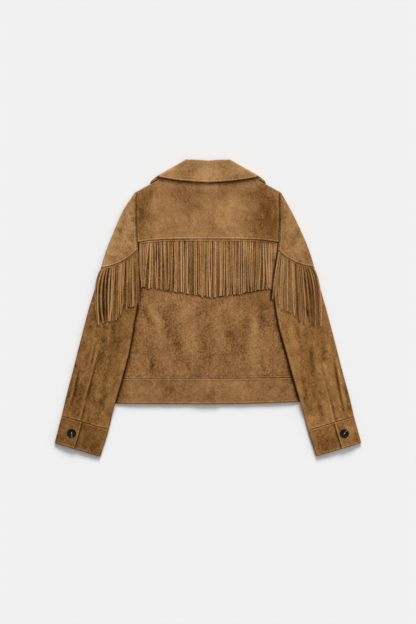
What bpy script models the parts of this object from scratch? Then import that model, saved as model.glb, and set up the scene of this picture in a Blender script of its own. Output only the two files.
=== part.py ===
"""Fringed suede jacket laid flat on its front, so that its back is uppermost.

World frame: +Z up, the surface it lies on is z = 0, +Y runs towards the collar and -X is the
wearer's left. Sizes and heights below are in millimetres; they become metres as vertices are placed.
"""
import math

import bmesh
import bpy
from mathutils import Vector
from mathutils.geometry import intersect_point_line

MM = 0.001

# ---- cloth and gaps ------------------------------------------------------------------------------
SUEDE = 1.2        # one layer of suede
BAND = 1.8         # waistband, two layers
CUFF = 1.8         # cuff, two layers
COLLAR = 2.0       # collar, two layers
FRINGE = 1.6       # reach of the fringe, its strands lying side by side
SEAM = 0.3         # gap between neighbouring pieces
SNUG = 0.3         # gap between two layers pressed together
CLEAR = 0.8        # gap under the back fringe
LOOSE = 1.5        # gap under a sleeve that lies over the body

# ---- lengths along the body, from the middle of the back -----------------------------------------
HEM_Y = -231.0
WAIST_Y = -169.4
YOKE_Y = 165.5
BACK_NECK_Y = 318.0
FRONT_NECK_Y = 242.0
NECK_HALF = 84.0
NECK_RISE = 9.0            # how much higher the neck's corner is than the middle of the back neck
SHOULDER_HALF = 172.6
SHOULDER_Y = 279.0
ARMHOLE_FOOT_Y = 108.0     # from here down the sleeve lies over the body

# ---- heights of the layers -----------------------------------------------------------------------
BACK_LOW = 5.0             # underside of the back where it lies level
SLEEVE_HIGH = 6.2          # a flattened sleeve from its underside to its top
CUFF_HIGH = 7.0            # a flattened cuff
EDGE_RAMP = 30.0           # width over which the back comes down to a side or shoulder seam
CLIMB = 28.0               # width over which a sleeve climbs on to the body
CLIMB_START = 5.0          # how far outside the body's edge it is still fully up

# ---- front closure: buttons against the ground, right front over them, left front inside ---------
BUTTON_RADIUS = 10.5
BUTTON_THICK = 2.4
LAP_HALF = 14.0            # the fronts lap by twice this
LAP_RAMP = 40.0            # width over which the lap settles to the ground
LAP_STATIONS = [16.0, 27.0, 38.0, 58.0]   # places across that ramp where every layer has an edge
SHOULDER_STATIONS = [NECK_HALF, 112.0, 140.0, 156.0, SHOULDER_HALF]   # and along the shoulder seam
BUTTON_ROWS = [("button", "y"),
               ("front_button_1", 215.0), ("front_button_2", 130.0), ("front_button_3", 45.0),
               ("front_button_4", -40.0), ("front_button_5", -125.0), ("front_button_6", -200.0)]

# Body outline, one half: height along the body, half width.
BODY_EDGE = [(-240.0, 230.0), (-100.0, 231.0), (12.0, 230.0), (30.0, 196.0), (62.0, 173.0),
             (ARMHOLE_FOOT_Y, 164.4), (163.0, 170.4), (226.0, SHOULDER_HALF), (285.0, SHOULDER_HALF)]

# Seams between the centre back and the side backs: height, half width on the left and the right.
PANEL_SEAM = [("y", "left", "right"),
              (-175.0, 137.0, 155.0), (-98.0, 146.0, 156.0), (0.0, 155.0, 160.0),
              (60.0, 160.0, 162.5), (ARMHOLE_FOOT_Y, 164.4, 164.4)]

# Sleeve sections, shoulder to cuff hem: outer fold x and y, inner fold x and y, for each sleeve.
SLEEVE_ROWS = [("section", "left outer", "", "left inner", "", "right outer", "", "right inner", ""),
               (0, 176.5, 275.5, 172.6, 268.0, 176.5, 275.5, 172.6, 268.0),
               (1, 204.0, 234.0, 172.6, 225.6, 202.0, 230.0, 172.6, 220.0),
               (2, 228.0, 180.0, 170.4, 163.2, 227.0, 178.0, 170.4, 160.0),
               (3, 248.5, 127.0, 164.4, 108.0, 247.0, 127.0, 164.4, 108.0),
               (4, 264.5, 69.6, 165.0, 43.2, 262.5, 73.0, 158.5, 43.2),
               (5, 286.0, 0.0, 176.0, -27.6, 283.5, 0.0, 167.0, -28.8),
               (6, 306.0, -76.8, 189.6, -105.6, 304.0, -76.8, 186.0, -101.0),
               (7, 325.5, -153.6, 210.0, -182.4, 323.5, -153.6, 208.5, -182.4),
               (8, 340.5, -211.2, 226.0, -240.0, 339.5, -211.2, 225.5, -240.0),
               (9, 352.0, -259.5, 238.5, -293.0, 351.0, -260.5, 240.0, -295.0),
               (10, 368.5, -324.0, 259.0, -357.5, 368.5, -324.0, 260.0, -356.5)]
CUFF_SECTION = 9.0
CUFF_HEM_SECTION = 10.0
ON_ARMHOLE, UNDER_ARMHOLE = -1.0, 5.0   # turns of a sleeve's two edges sewn to the armhole
BACK_SEAM = 0.60           # share of the upper layer, from the inner fold, where the back seam runs
FRONT_SEAM = 2.74          # turn of the hidden front seam, on the under layer
CUFF_LAP = 0.57            # where the cuff's upper end lies
CUFF_UNDERLAP = 0.76       # where its under end lies
CUFF_LAP_LIFT = 2.4

# Where the sleeve fringe ends: share from the inner fold to the outer one, x, y, each sleeve.
FRINGE_ENDS = [("share", "left x", "left y", "right x", "right y"),
               (0.00, 160.0, 10.0, 154.0, 20.0), (0.12, 174.0, 4.0, 171.0, 8.0),
               (0.45, 214.0, -19.0, 208.0, -20.0), (0.75, 243.0, -38.0, 240.0, -40.0),
               (1.00, 266.0, -41.0, 270.0, -45.0)]

# Collar, half of it from the centre back round to the front end. The leaf and the stand lie either
# side of one line: roll x and y, leaf edge x and y, neck seam x. It turns under from place 3 to 5.
COLLAR_ROWS = [("place", "roll x", "roll y", "edge x", "edge y", "neck x"),
               (0.0, 0.0, 353.0, 0.0, 301.0, 0.0),
               (1.0, 24.0, 355.0, 58.0, 305.0, 30.0),
               (2.0, 42.0, 356.0, 100.0, 311.0, 62.0),
               (3.0, 46.5, 355.0, 114.0, 313.5, 79.0),
               (4.0, 48.0, 354.0, 118.5, 313.0, 81.5),
               (5.0, 47.5, 352.0, 131.5, 310.5, 80.5),
               (6.0, 45.0, 344.0, 139.5, 298.0, 76.0),
               (7.0, 31.0, 316.0, 136.0, 262.0, 52.0),
               (8.0, 6.0, 269.0, 78.0, 222.0, 8.0)]
COLLAR_MID = 4.8           # height of the line between the stand and the leaf
STAND_OUT = 1.2            # stand's middle from that line
LEAF_OUT = 3.8             # leaf's middle from that line
ROLL_OUT = 1.1             # leaf's middle where it is sewn in at the roll
# Leaf from the roll to its edge: distance from the roll, share of the way out.
ROLL_BEND = [(3.2, 0.0), (1.1, 0.12), (0.0, 0.45), (1.1, 0.85), (4.0, 1.0)]
STAND_TOP = 8.0            # stand's top edge from the roll
NECK_CLEAR = 2.6           # stand's lower edge from the neck edge of the body, where it turns in

SIDES = {"left": -1, "right": 1}


# ---- curves and small sums -----------------------------------------------------------------------
def smooth(t):
    """0 below 0, 1 above 1 and an even S between."""
    t = min(max(t, 0.0), 1.0)
    return t * t * (3.0 - 2.0 * t)


def mix(a, b, t):
    return a + (b - a) * t


def read_off(rows, at):
    """Value at a place on a smooth curve through (place, value) rows, with no overshoot."""
    at = min(max(at, rows[0][0]), rows[-1][0])
    slopes = [(b[1] - a[1]) / (b[0] - a[0]) for a, b in zip(rows, rows[1:])]
    turns = [slopes[0]]
    for before, after in zip(slopes, slopes[1:]):
        same_way = before * after > 0.0
        turns.append(2.0 * before * after / (before + after) if same_way else 0.0)
    turns.append(slopes[-1])
    index = max(i for i in range(len(rows) - 1) if rows[i][0] <= at)
    (x0, y0), (x1, y1) = rows[index], rows[index + 1]
    width = x1 - x0
    t = (at - x0) / width
    return (y0 * (1 + 2 * t) * (1 - t) ** 2 + turns[index] * width * t * (1 - t) ** 2
            + y1 * t * t * (3 - 2 * t) + turns[index + 1] * width * t * t * (t - 1))


def column(table, name, first="", offset=0):
    """(place, value) rows of one named column of a table whose first row is its header."""
    header = table[0]
    place = header.index(first) if first else 0
    value = header.index(name) + offset
    return [(row[place], row[value]) for row in table[1:]]


# ---- the body in plan ----------------------------------------------------------------------------
def body_half(y):
    return read_off(BODY_EDGE, y)


def shoulder_y(x):
    t = (abs(x) - NECK_HALF) / (SHOULDER_HALF - NECK_HALF)
    return mix(BACK_NECK_Y + NECK_RISE, SHOULDER_Y, t)


def back_neck_y(x):
    return BACK_NECK_Y + NECK_RISE * (abs(x) / NECK_HALF) ** 2


def front_neck_y(x):
    drop = BACK_NECK_Y + NECK_RISE - FRONT_NECK_Y
    return FRONT_NECK_Y + drop * (abs(x) / NECK_HALF) ** 1.6


def back_top_y(x):
    return back_neck_y(x) if abs(x) < NECK_HALF else shoulder_y(x)


def front_top_y(x):
    return front_neck_y(x) if abs(x) < NECK_HALF else shoulder_y(x)


def yoke_y(x):
    return YOKE_Y - 8.0 * (abs(x) / 170.0) ** 4


def waist_y(x):
    return WAIST_Y + 2.0 * (max(x, 0.0) / 200.0) ** 2


def hem_y(x):
    return HEM_Y + 6.0 * (max(x, 0.0) / 220.0) ** 2 + 1.5 * (min(x, 0.0) / 220.0) ** 2


SIDE_LINE = [Vector((body_half(y), y)) for y in
             (-231, -160, -90, -20, 5, 12, 18, 24, 30, 38, 48, 62, 80, 95, ARMHOLE_FOOT_Y)]
ARMHOLE_LINE = [Vector((body_half(y), y)) for y in
                (ARMHOLE_FOOT_Y, 135, 163, 195, 226, 255, SHOULDER_Y)]
SHOULDER_LINE = [Vector((x, shoulder_y(x))) for x in (SHOULDER_HALF, 160, 148, 136, 124)]
HEM_LINE = [Vector((0, HEM_Y)), Vector((body_half(HEM_Y), HEM_Y))]


def nearest_on(line, x, y):
    """Nearest point of a line to (|x|, y), and how far it is."""
    here = Vector((abs(x), y))
    best = None
    for a, b in zip(line, line[1:]):
        foot, share = intersect_point_line(here, a, b)
        foot = a.lerp(b, min(max(share, 0.0), 1.0)).to_2d()
        if best is None or (foot - here).length < (best - here).length:
            best = foot
    return best, (best - here).length


def seam_inset(x, y):
    """Distance in from the side and shoulder seams, where the back is sewn down to the front."""
    return min(nearest_on(SIDE_LINE, x, y)[1], nearest_on(SHOULDER_LINE, x, y)[1])


# ---- heights of the layers -----------------------------------------------------------------------
def body_cloth(x, y):
    return BAND if y < waist_y(x) else SUEDE


def lap_share(x):
    return 1.0 - smooth((abs(x) - LAP_HALF - 2.0) / LAP_RAMP)


def front_low(x, y, side):
    """Underside of a front: flat, raised over the buttons and over the collar's front."""
    lap = BUTTON_THICK + SNUG
    if side < 0:
        lap += body_cloth(x, y) + SNUG
    over_collar = (COLLAR + SNUG) * smooth((y - 165.0) / 30.0) * (1.0 - smooth((abs(x) - 141.0) / 28.0))
    return max(lap * lap_share(x), over_collar)


def back_low(x, y):
    """Underside of the back: level, down to the front at side and shoulder seams, up over the lap."""
    fronts = front_low(x, y, -1) + body_cloth(x, y)
    level = max(BACK_LOW, mix(BACK_LOW, fronts + SNUG, lap_share(x)))
    return mix(min(level, fronts + SNUG), level, smooth(seam_inset(x, y) / EDGE_RAMP))


def back_top(x, y):
    return back_low(x, y) + body_cloth(x, y)


def over_body(x, y):
    """Underside of a sleeve that lies over the body and, further down, over the thicker waistband."""
    over_band = 1.0 - smooth((y - WAIST_Y - 12.0) / 30.0)
    return back_top(x, max(y, WAIST_Y + 4.0)) + 2.0 * (BAND - SUEDE) * over_band + LOOSE


def ride_height(x, y):
    """Underside of a sleeve: on the ground outside the body, climbing on to it below the armhole."""
    riding = 1.0 - smooth((y - ARMHOLE_FOOT_Y - 4.0) / 50.0)
    if abs(x) < body_half(y) and y > HEM_Y:
        return over_body(x, y) * riding
    feet = [nearest_on(line, x, y) for line in (SIDE_LINE, ARMHOLE_LINE, HEM_LINE)]
    foot, away = min(feet, key=lambda pair: pair[1])
    edge_height = over_body(math.copysign(foot.x, x), foot.y)
    return edge_height * (1.0 - smooth((away - CLIMB_START) / CLIMB)) * riding


# ---- sleeves in plan -----------------------------------------------------------------------------
SLEEVE_CURVES = {side: {edge: [column(SLEEVE_ROWS, f"{side} {edge}", offset=axis) for axis in (0, 1)]
                        for edge in ("outer", "inner")} for side in SIDES}


def sleeve_fold(side, edge, section):
    """Plan place of the sleeve's outer or inner fold at a section, on the positive side of x."""
    along_x, along_y = SLEEVE_CURVES[side][edge]
    x, y = read_off(along_x, section), read_off(along_y, section)
    if edge == "inner" and y > ARMHOLE_FOOT_Y:
        x = body_half(y)
    return Vector((x, y))


def sleeve_yoke_section(turn):
    """Section of the sleeve's yoke seam at a turn of the sleeve: an arch, lowest at the outer fold."""
    share = min(max(turn, 0.0), 1.0) if turn < 2.0 else max(3.0 - turn, 0.0)
    return 2.43 + 1.6 * share - 0.5 * share * share


def sleeve_point(side, section, turn, high=SLEEVE_HIGH):
    """Point on the outside of a flattened sleeve.

    turn 0 to 1 is the upper layer from the inner fold out, 1 to 2 the outer fold, 2 to 3 the under
    layer back in, and 3 to 4 the inner fold. ON_ARMHOLE and UNDER_ARMHOLE are the two layers' edges
    where the sleeve is sewn to the body instead of folding.
    """
    outer, inner = sleeve_fold(side, "outer", section), sleeve_fold(side, "inner", section)
    across = (outer - inner).normalized()
    radius = high / 2.0
    start = inner + across * radius
    end = outer - across * radius
    if turn in (ON_ARMHOLE, UNDER_ARMHOLE):
        place, z = inner + across * SEAM, (high if turn == ON_ARMHOLE else 0.0)
    elif turn <= 1.0:
        place, z = start.lerp(end, turn), high
    elif turn <= 2.0:
        angle = math.pi * (turn - 1.5)
        place, z = end + across * radius * math.cos(angle), radius - radius * math.sin(angle)
    elif turn <= 3.0:
        place, z = end.lerp(start, turn - 2.0), 0.0
    else:
        angle = math.pi * (turn - 3.5)
        place, z = start - across * radius * math.cos(angle), radius + radius * math.sin(angle)
    x = place.x * SIDES[side]
    return Vector((x, place.y, z + ride_height(x, place.y)))


# ---- making solids -------------------------------------------------------------------------------
def finish(name, colour, roughness=0.9):
    material = bpy.data.materials.new(name)
    material.use_nodes = True
    shader = material.node_tree.nodes["Principled BSDF"]
    shader.inputs["Base Color"].default_value = (*colour, 1.0)
    shader.inputs["Roughness"].default_value = roughness
    shader.inputs["Metallic"].default_value = 0.0
    return material


def add_object(name, bm, collection, material):
    mesh = bpy.data.meshes.new(name)
    bm.to_mesh(mesh)
    bm.free()
    mesh.materials.append(material)
    piece = bpy.data.objects.new(name, mesh)
    collection.objects.link(piece)
    return piece


def open_grid(place, across, along):
    """Open sheet of cloth: a grid whose corners at (u, v) from 0 to 1 move to place(u, v), in mm."""
    bm = bmesh.new()
    bmesh.ops.create_grid(bm, x_segments=across, y_segments=along, size=0.5)
    for vert in bm.verts:
        vert.co = place(vert.co.x + 0.5, vert.co.y + 0.5) * MM
    return bm


def lying_panel(name, plan, underside, thick, across, along, collection, material):
    """Panel that lies: its plan raised to its underside, and again by its thickness, with upright edges."""
    def corner(u, v):
        x, y = plan(u, v)
        return Vector((x, y, underside(x, y)))
    bm = open_grid(corner, across, along)
    top = bmesh.ops.extrude_face_region(bm, geom=bm.faces[:])["geom"]
    for vert in (item for item in top if isinstance(item, bmesh.types.BMVert)):
        vert.co.z += thick * MM
    bmesh.ops.recalc_face_normals(bm, faces=bm.faces)
    return add_object(name, bm, collection, material)


def folded_strip(name, place, across, along, thick, offset, turned_over, collection, material):
    """Strip that folds round: an open sheet, its faces outward, given its thickness by Solidify."""
    bm = open_grid(place, across, along)
    if turned_over:
        bmesh.ops.reverse_faces(bm, faces=bm.faces)
    piece = add_object(name, bm, collection, material)
    wall = piece.modifiers.new("wall", "SOLIDIFY")
    wall.thickness = thick * MM
    wall.offset = offset
    wall.use_even_offset = True
    return piece


def between(stations, t):
    """Value at share t of a list of stations, straight between them."""
    at = t * (len(stations) - 1)
    index = min(int(at), len(stations) - 2)
    return mix(stations[index], stations[index + 1], at - index)


def both_ways(widths):
    """Stations on the left and the right at the same distances from the middle."""
    return [-width for width in reversed(widths)] + widths


# ---- pieces of the body --------------------------------------------------------------------------
def panel_seam(y, side):
    """Signed x of the seam between the centre back and a side back, or of the armhole above it."""
    half = body_half(y) if y > ARMHOLE_FOOT_Y else read_off(column(PANEL_SEAM, side), y)
    return half * SIDES[side]


def make_back_yoke(collection, material):
    widths = both_ways(LAP_STATIONS + SHOULDER_STATIONS)

    def plan(u, v):
        width = between(widths, u)
        side_share = smooth((abs(width) - NECK_HALF) / (SHOULDER_HALF - NECK_HALF))
        half = body_half(mix(yoke_y(width), back_top_y(width), v)) - 2.0 * SEAM
        x = width * mix(1.0, half / SHOULDER_HALF, side_share)
        return x, mix(yoke_y(x) + SEAM, back_top_y(width), v)
    lying_panel("back_yoke", plan, back_low, SUEDE, len(widths) - 1, 7, collection, material)


def make_back_centre(collection, material):
    widths = both_ways(LAP_STATIONS + [90.0, 118.0, 137.0])
    heights = [0, 0.12, 0.3, 0.5, 0.66, 0.75, 0.83, 0.92, 1]

    def plan(u, v):
        up = between(heights, v)
        y = mix(WAIST_Y, YOKE_Y - 8.0, up)
        width = between(widths, u)
        seam = abs(panel_seam(y, "left" if width < 0 else "right")) - SEAM
        reach = smooth((abs(width) - 58.0) / (137.0 - 58.0))
        x = width * mix(1.0, seam / 137.0, reach)
        return x, mix(waist_y(x) + SEAM / 2, yoke_y(x) - SEAM / 2, up)
    lying_panel("back_centre", plan, back_low, SUEDE, len(widths) - 1, len(heights) - 1,
                collection, material)


def make_back_side(side, collection, material):
    heights = [WAIST_Y, -120, -60, -15, 5, 14, 22, 30, 45, 65, 84, 100]
    shares = [0, 0.35, 0.6, 0.8, 1]

    def plan(u, v):
        y = between(heights, v)
        seam = abs(panel_seam(y, side)) + SEAM / 2
        x = mix(seam, body_half(y), between(shares, u)) * SIDES[side]
        rise = waist_y(x) - WAIST_Y + SEAM / 2
        return x, y + rise * (1.0 - smooth((y - WAIST_Y) / 50.0))
    lying_panel(f"back_side_{side}", plan, back_low, SUEDE, len(shares) - 1, len(heights) - 1,
                collection, material)


def make_front(side, collection, material):
    sign = SIDES[side]
    level = [WAIST_Y, -110, -50, -5, 10, 18, 30, 45, 65, 100, 130, 165, 190, 205]
    tops = [0.33, 0.66, 1.0]
    rows = len(level) + len(tops)
    widths = [-LAP_HALF, 0.0] + LAP_STATIONS + SHOULDER_STATIONS

    def plan(u, v):
        row = round(v * (rows - 1))
        y = level[min(row, len(level) - 1)]
        rise = tops[row - len(level)] if row >= len(level) else 0.0
        half = body_half(y) - (SEAM if y >= ARMHOLE_FOOT_Y else 0.0)
        width = between(widths, u)
        stretch = mix(1.0, half / SHOULDER_HALF, smooth((width - 58.0) / (SHOULDER_HALF - 58.0)))
        x = width * stretch if width < SHOULDER_HALF else half
        y = mix(y, front_top_y(max(width, 0.0)), rise) if rise else y
        if row == 0:
            y = waist_y(x * sign) + SEAM / 2
        return x * sign, y
    lying_panel(f"front_{side}", plan, lambda x, y: front_low(x, y, sign), SUEDE,
                len(widths) - 1, rows - 1, collection, material)


def make_waistband_back(collection, material):
    widths = both_ways(LAP_STATIONS + [110.0, 165.0, 200.0, 215.0, body_half(HEM_Y)])

    def plan(u, v):
        x = between(widths, u)
        return x, mix(hem_y(x), waist_y(x) - SEAM / 2, v)
    lying_panel("waistband_back", plan, back_low, BAND, len(widths) - 1, 2, collection, material)


def make_waistband_front(side, collection, material):
    sign = SIDES[side]
    widths = [-LAP_HALF] + LAP_STATIONS + [110.0, 165.0, 200.0, 215.0, body_half(HEM_Y)]

    def plan(u, v):
        x = between(widths, u) * sign
        return x, mix(hem_y(x), waist_y(x) - SEAM / 2, v)
    lying_panel(f"waistband_front_{side}", plan, lambda x, y: front_low(x, y, sign), BAND,
                len(widths) - 1, 2, collection, material)


# ---- collar --------------------------------------------------------------------------------------
COLLAR_PLACES = [0, 1, 2, 3, 3.25, 3.5, 3.75, 4, 4.25, 4.5, 4.75, 5, 6, 7, 8]


def collar_frame(u):
    """Roll and leaf edge in plan, neck seam x, the way out of the collar, and the side, at share u."""
    last = COLLAR_PLACES[-1]
    steps = [-place for place in reversed(COLLAR_PLACES[1:])] + COLLAR_PLACES
    signed = between(steps, u)
    place, sign = min(abs(signed), last), (1 if signed >= 0 else -1)
    roll_x, roll_y, edge_x, edge_y, neck_x = (
        read_off(column(COLLAR_ROWS, name), place) for name in COLLAR_ROWS[0][1:])
    turn = math.pi * min(max((place - 3.0) / 2.0, 0.0), 1.0)
    fold_way = Vector((0.541, 0.841))
    out = Vector((fold_way.x * math.sin(turn), fold_way.y * math.sin(turn), math.cos(turn)))
    return Vector((roll_x, roll_y)), Vector((edge_x, edge_y)), neck_x, out, turn, sign


def on_side(flat, out, distance, sign):
    point = Vector((flat.x, flat.y, COLLAR_MID)) + out * distance
    return Vector((point.x * sign, point.y, point.z))


def make_collar_leaf(collection, material):
    fall = [0.25, 0.5, 0.75, 1.0]

    def place(u, v):
        roll, edge, _, out, _, sign = collar_frame(u)
        length = (edge - roll).length
        down = (edge - roll).normalized()
        index = round(v * (len(ROLL_BEND) + len(fall) - 1))
        if index < len(ROLL_BEND):
            distance, share = ROLL_BEND[index]
        else:
            distance, share = mix(ROLL_BEND[-1][0], length, fall[index - len(ROLL_BEND)]), 1.0
        return on_side(roll + down * distance, out, mix(ROLL_OUT, LEAF_OUT, share), sign)
    across = 2 * (len(COLLAR_PLACES) - 1)
    folded_strip("collar_leaf", place, across, len(ROLL_BEND) + len(fall) - 1, COLLAR, 0.0, True,
                 collection, material)


def make_collar_stand(collection, material):
    def place(u, v):
        roll, edge, neck_x, out, turn, sign = collar_frame(u)
        back, front = back_neck_y(neck_x), front_neck_y(neck_x)
        under = smooth((turn / math.pi - 0.83) / 0.17)
        seam = Vector((neck_x, mix(back + 2.0 * SEAM, front + NECK_CLEAR, under)))
        top = roll + (edge - roll).normalized() * STAND_TOP
        return on_side(top.lerp(seam, v), out, STAND_OUT, sign)
    across = 2 * (len(COLLAR_PLACES) - 1)
    folded_strip("collar_stand", place, across, 3, COLLAR, 0.0, True, collection, material)


# ---- sleeves -------------------------------------------------------------------------------------
FOLD_STEPS = 4


def turns(start, end, steps):
    return [mix(start, end, i / steps) for i in range(steps + 1)]


def make_sleeve_yoke(side, collection, material):
    stations = ([ON_ARMHOLE] + turns(0, 1, 6) + turns(1, 2, FOLD_STEPS)[1:]
                + turns(2, 3, 6)[1:] + [UNDER_ARMHOLE])

    def place(u, v):
        turn = stations[round(u * (len(stations) - 1))]
        section = mix(0.0, sleeve_yoke_section(turn) - 0.005, v)
        return sleeve_point(side, section, turn)
    folded_strip(f"sleeve_yoke_{side}", place, len(stations) - 1, 6, SUEDE, -1.0, side == "right",
                 collection, material)


def make_sleeve_strip(name, side, stations, collection, material):
    sections = [0, 0.05, 0.11, 0.18, 0.25, 0.31, 0.37, 0.43, 0.54, 0.66, 0.73, 0.78, 0.82, 0.86, 0.92, 1.0]

    def place(u, v):
        turn = stations[round(u * (len(stations) - 1))]
        around = turn if turn <= 4.0 else turn - 4.0
        seam = sleeve_yoke_section(around if around < 3.0 else 0.0)
        section = mix(seam + 0.005, CUFF_SECTION - 0.005, between(sections, v))
        return sleeve_point(side, section, around)
    folded_strip(name, place, len(stations) - 1, len(sections) - 1, SUEDE, -1.0, side == "right",
                 collection, material)


def make_sleeve(side, collection, material):
    half = 0.0015
    top = (turns(BACK_SEAM + half, 1, 4) + turns(1, 2, FOLD_STEPS)[1:]
           + turns(2, FRONT_SEAM - half, 7)[1:])
    under = (turns(FRONT_SEAM + half, 3, 3) + turns(3, 4, FOLD_STEPS)[1:]
             + turns(4, 4 + BACK_SEAM - half, 7)[1:])
    make_sleeve_strip(f"sleeve_top_{side}", side, top, collection, material)
    make_sleeve_strip(f"sleeve_under_{side}", side, under, collection, material)


def cuff_lift(turn):
    """How far the cuff's upper end is raised over its under end."""
    return CUFF_LAP_LIFT * smooth((1.0 - turn) / (1.0 - CUFF_UNDERLAP))


def make_cuff(side, collection, material):
    over = turns(CUFF_LAP, 1, 6)
    stations = (over + turns(1, 2, FOLD_STEPS)[1:] + turns(2, 3, 5)[1:]
                + turns(3, 4, FOLD_STEPS)[1:] + turns(4, 4 + CUFF_UNDERLAP, 6)[1:])

    def place(u, v):
        index = round(u * (len(stations) - 1))
        turn = stations[index]
        section = mix(CUFF_SECTION + 0.01, CUFF_HEM_SECTION, v)
        point = sleeve_point(side, section, turn if turn <= 4.0 else turn - 4.0, high=CUFF_HIGH)
        if index < len(over):
            point.z += cuff_lift(turn)
        return point
    folded_strip(f"cuff_{side}", place, len(stations) - 1, 3, CUFF, -1.0, side == "right",
                 collection, material)


# ---- fringes -------------------------------------------------------------------------------------
def make_fringe_back(collection, material):
    widths = both_ways(LAP_STATIONS + [90.0, 118.0, 137.0, 160.0])
    end_shares = {"left": 0.99, "right": 0.95}
    point_x, point_y, slope = 12.0, 24.0, 0.155

    def plan(u, v):
        width = between(widths, u)
        end_share = end_shares["left" if width < 0 else "right"]
        end_x = width * mix(1.0, end_share, smooth((abs(width) - 58.0) / 100.0))
        end_y = point_y + slope * abs(end_x - point_x)
        return mix(end_x, width, v), mix(end_y, yoke_y(width) - 2.0 * SEAM, v)

    def underside(x, y):
        return back_top(x, y) + CLEAR * (2.0 - smooth(seam_inset(x, y) / EDGE_RAMP))
    lying_panel("fringe_back", plan, underside, FRINGE, len(widths) - 1, 7, collection, material)


def make_fringe_sleeve(side, collection, material):
    ends = [column(FRINGE_ENDS, f"{side} {axis}") for axis in "xy"]

    def plan(u, v):
        share = mix(0.02, 0.99, u)
        turn_point = sleeve_point(side, sleeve_yoke_section(share) + 0.02, share)
        end = Vector((read_off(ends[0], u) * SIDES[side], read_off(ends[1], u)))
        place = end.lerp(turn_point.to_2d(), v)
        return place.x, place.y
    lying_panel(f"fringe_sleeve_{side}", plan,
                lambda x, y: ride_height(x, y) + SLEEVE_HIGH + CLEAR, FRINGE, 9, 8, collection, material)


# ---- buttons -------------------------------------------------------------------------------------
def button_mesh():
    """Turned button with a rim and a dished face, two thread holes cut through, in metres."""
    r, t = BUTTON_RADIUS * MM, BUTTON_THICK * MM
    rim, dish = 0.78 * r, 0.6 * t
    profile = [(0.0, dish), (0.62 * r, dish), (rim, t), (0.93 * r, t), (r, 0.7 * t), (r, 0.35 * t),
               (0.8 * r, 0.0), (0.0, 0.0)]
    bm = bmesh.new()
    verts = [bm.verts.new((x, 0.0, z)) for x, z in profile]
    for a, b in zip(verts, verts[1:]):
        bm.edges.new((a, b))
    mesh = bpy.data.meshes.new("button_profile")
    bm.to_mesh(mesh)
    bm.free()
    return mesh


def make_button(name, place, facing, turned, collection, cutters, material):
    """One button at place (mm), its face along facing (1 up, -1 down), its holes turned by degrees."""
    piece = bpy.data.objects.new(name, button_mesh())
    piece.data.materials.append(material)
    collection.objects.link(piece)
    screw = piece.modifiers.new("turned", "SCREW")
    screw.steps = screw.render_steps = 20
    screw.use_merge_vertices = True
    screw.merge_threshold = 0.00001
    screw.use_normal_calculate = True
    for index, along in enumerate((-1, 1)):
        bpy.ops.mesh.primitive_cylinder_add(vertices=8, radius=1.1 * MM, depth=3 * BUTTON_THICK * MM)
        cutter = bpy.context.object
        cutter.name = f"{name}_hole_{index + 1}"
        for owner in cutter.users_collection:
            owner.objects.unlink(cutter)
        cutters.objects.link(cutter)
        cutter.hide_render = True
        cutter.display_type = "WIRE"
        cutter.parent = piece
        cutter.location = (0.0, along * 2.6 * MM, 0.0)
        hole = piece.modifiers.new(f"hole_{index + 1}", "BOOLEAN")
        hole.operation = "DIFFERENCE"
        hole.object = cutter
    piece.location = place * MM
    piece.rotation_euler = (0.0 if facing > 0 else math.pi, 0.0, math.radians(turned))
    return piece


def make_buttons(collection, cutters, material):
    for name, y in BUTTON_ROWS[1:]:
        make_button(name, Vector((0.0, y, BUTTON_THICK)), -1, 0.0, collection, cutters, material)
    for side, turned in (("left", 4.0), ("right", -42.0)):
        seat = sleeve_point(side, 9.5, 0.72, high=CUFF_HIGH)
        seat.z += CUFF_LAP_LIFT + SNUG
        make_button(f"cuff_button_{side}", seat, 1, turned, collection, cutters, material)


# ---- assembly ------------------------------------------------------------------------------------
def clear_scene():
    for item in list(bpy.data.objects):
        bpy.data.objects.remove(item, do_unlink=True)


def build():
    clear_scene()
    scene = bpy.context.scene
    jacket = bpy.data.collections.new("fringed_suede_jacket")
    cutters = bpy.data.collections.new("cutters")
    for collection in (jacket, cutters):
        scene.collection.children.link(collection)

    body_suede = finish("suede_body", (0.27, 0.13, 0.045))
    sleeve_suede = finish("suede_sleeve", (0.22, 0.10, 0.035))
    collar_suede = finish("suede_collar", (0.36, 0.19, 0.08))
    fringe_suede = finish("suede_fringe", (0.25, 0.12, 0.045))
    button_black = finish("button_black", (0.012, 0.013, 0.014), roughness=0.35)

    make_back_yoke(jacket, body_suede)
    make_back_centre(jacket, body_suede)
    make_waistband_back(jacket, body_suede)
    make_collar_leaf(jacket, collar_suede)
    make_collar_stand(jacket, collar_suede)
    make_fringe_back(jacket, fringe_suede)
    for side in SIDES:
        make_back_side(side, jacket, body_suede)
        make_front(side, jacket, body_suede)
        make_waistband_front(side, jacket, body_suede)
        make_sleeve_yoke(side, jacket, sleeve_suede)
        make_sleeve(side, jacket, sleeve_suede)
        make_cuff(side, jacket, sleeve_suede)
        make_fringe_sleeve(side, jacket, fringe_suede)
    make_buttons(jacket, cutters, button_black)


build()
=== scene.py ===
"""Looks of a fringed suede jacket that lies flat on its front, with its back uppermost.

Row frame: +Z up from the surface it lies on, +Y towards the collar, -X the wearer's left. Sizes and
heights below are in millimetres; they become metres as a mesh is made.
"""

import math

import bmesh
import bpy
import numpy as np
from mathutils import Matrix, Vector
from mathutils.bvhtree import BVHTree


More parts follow.
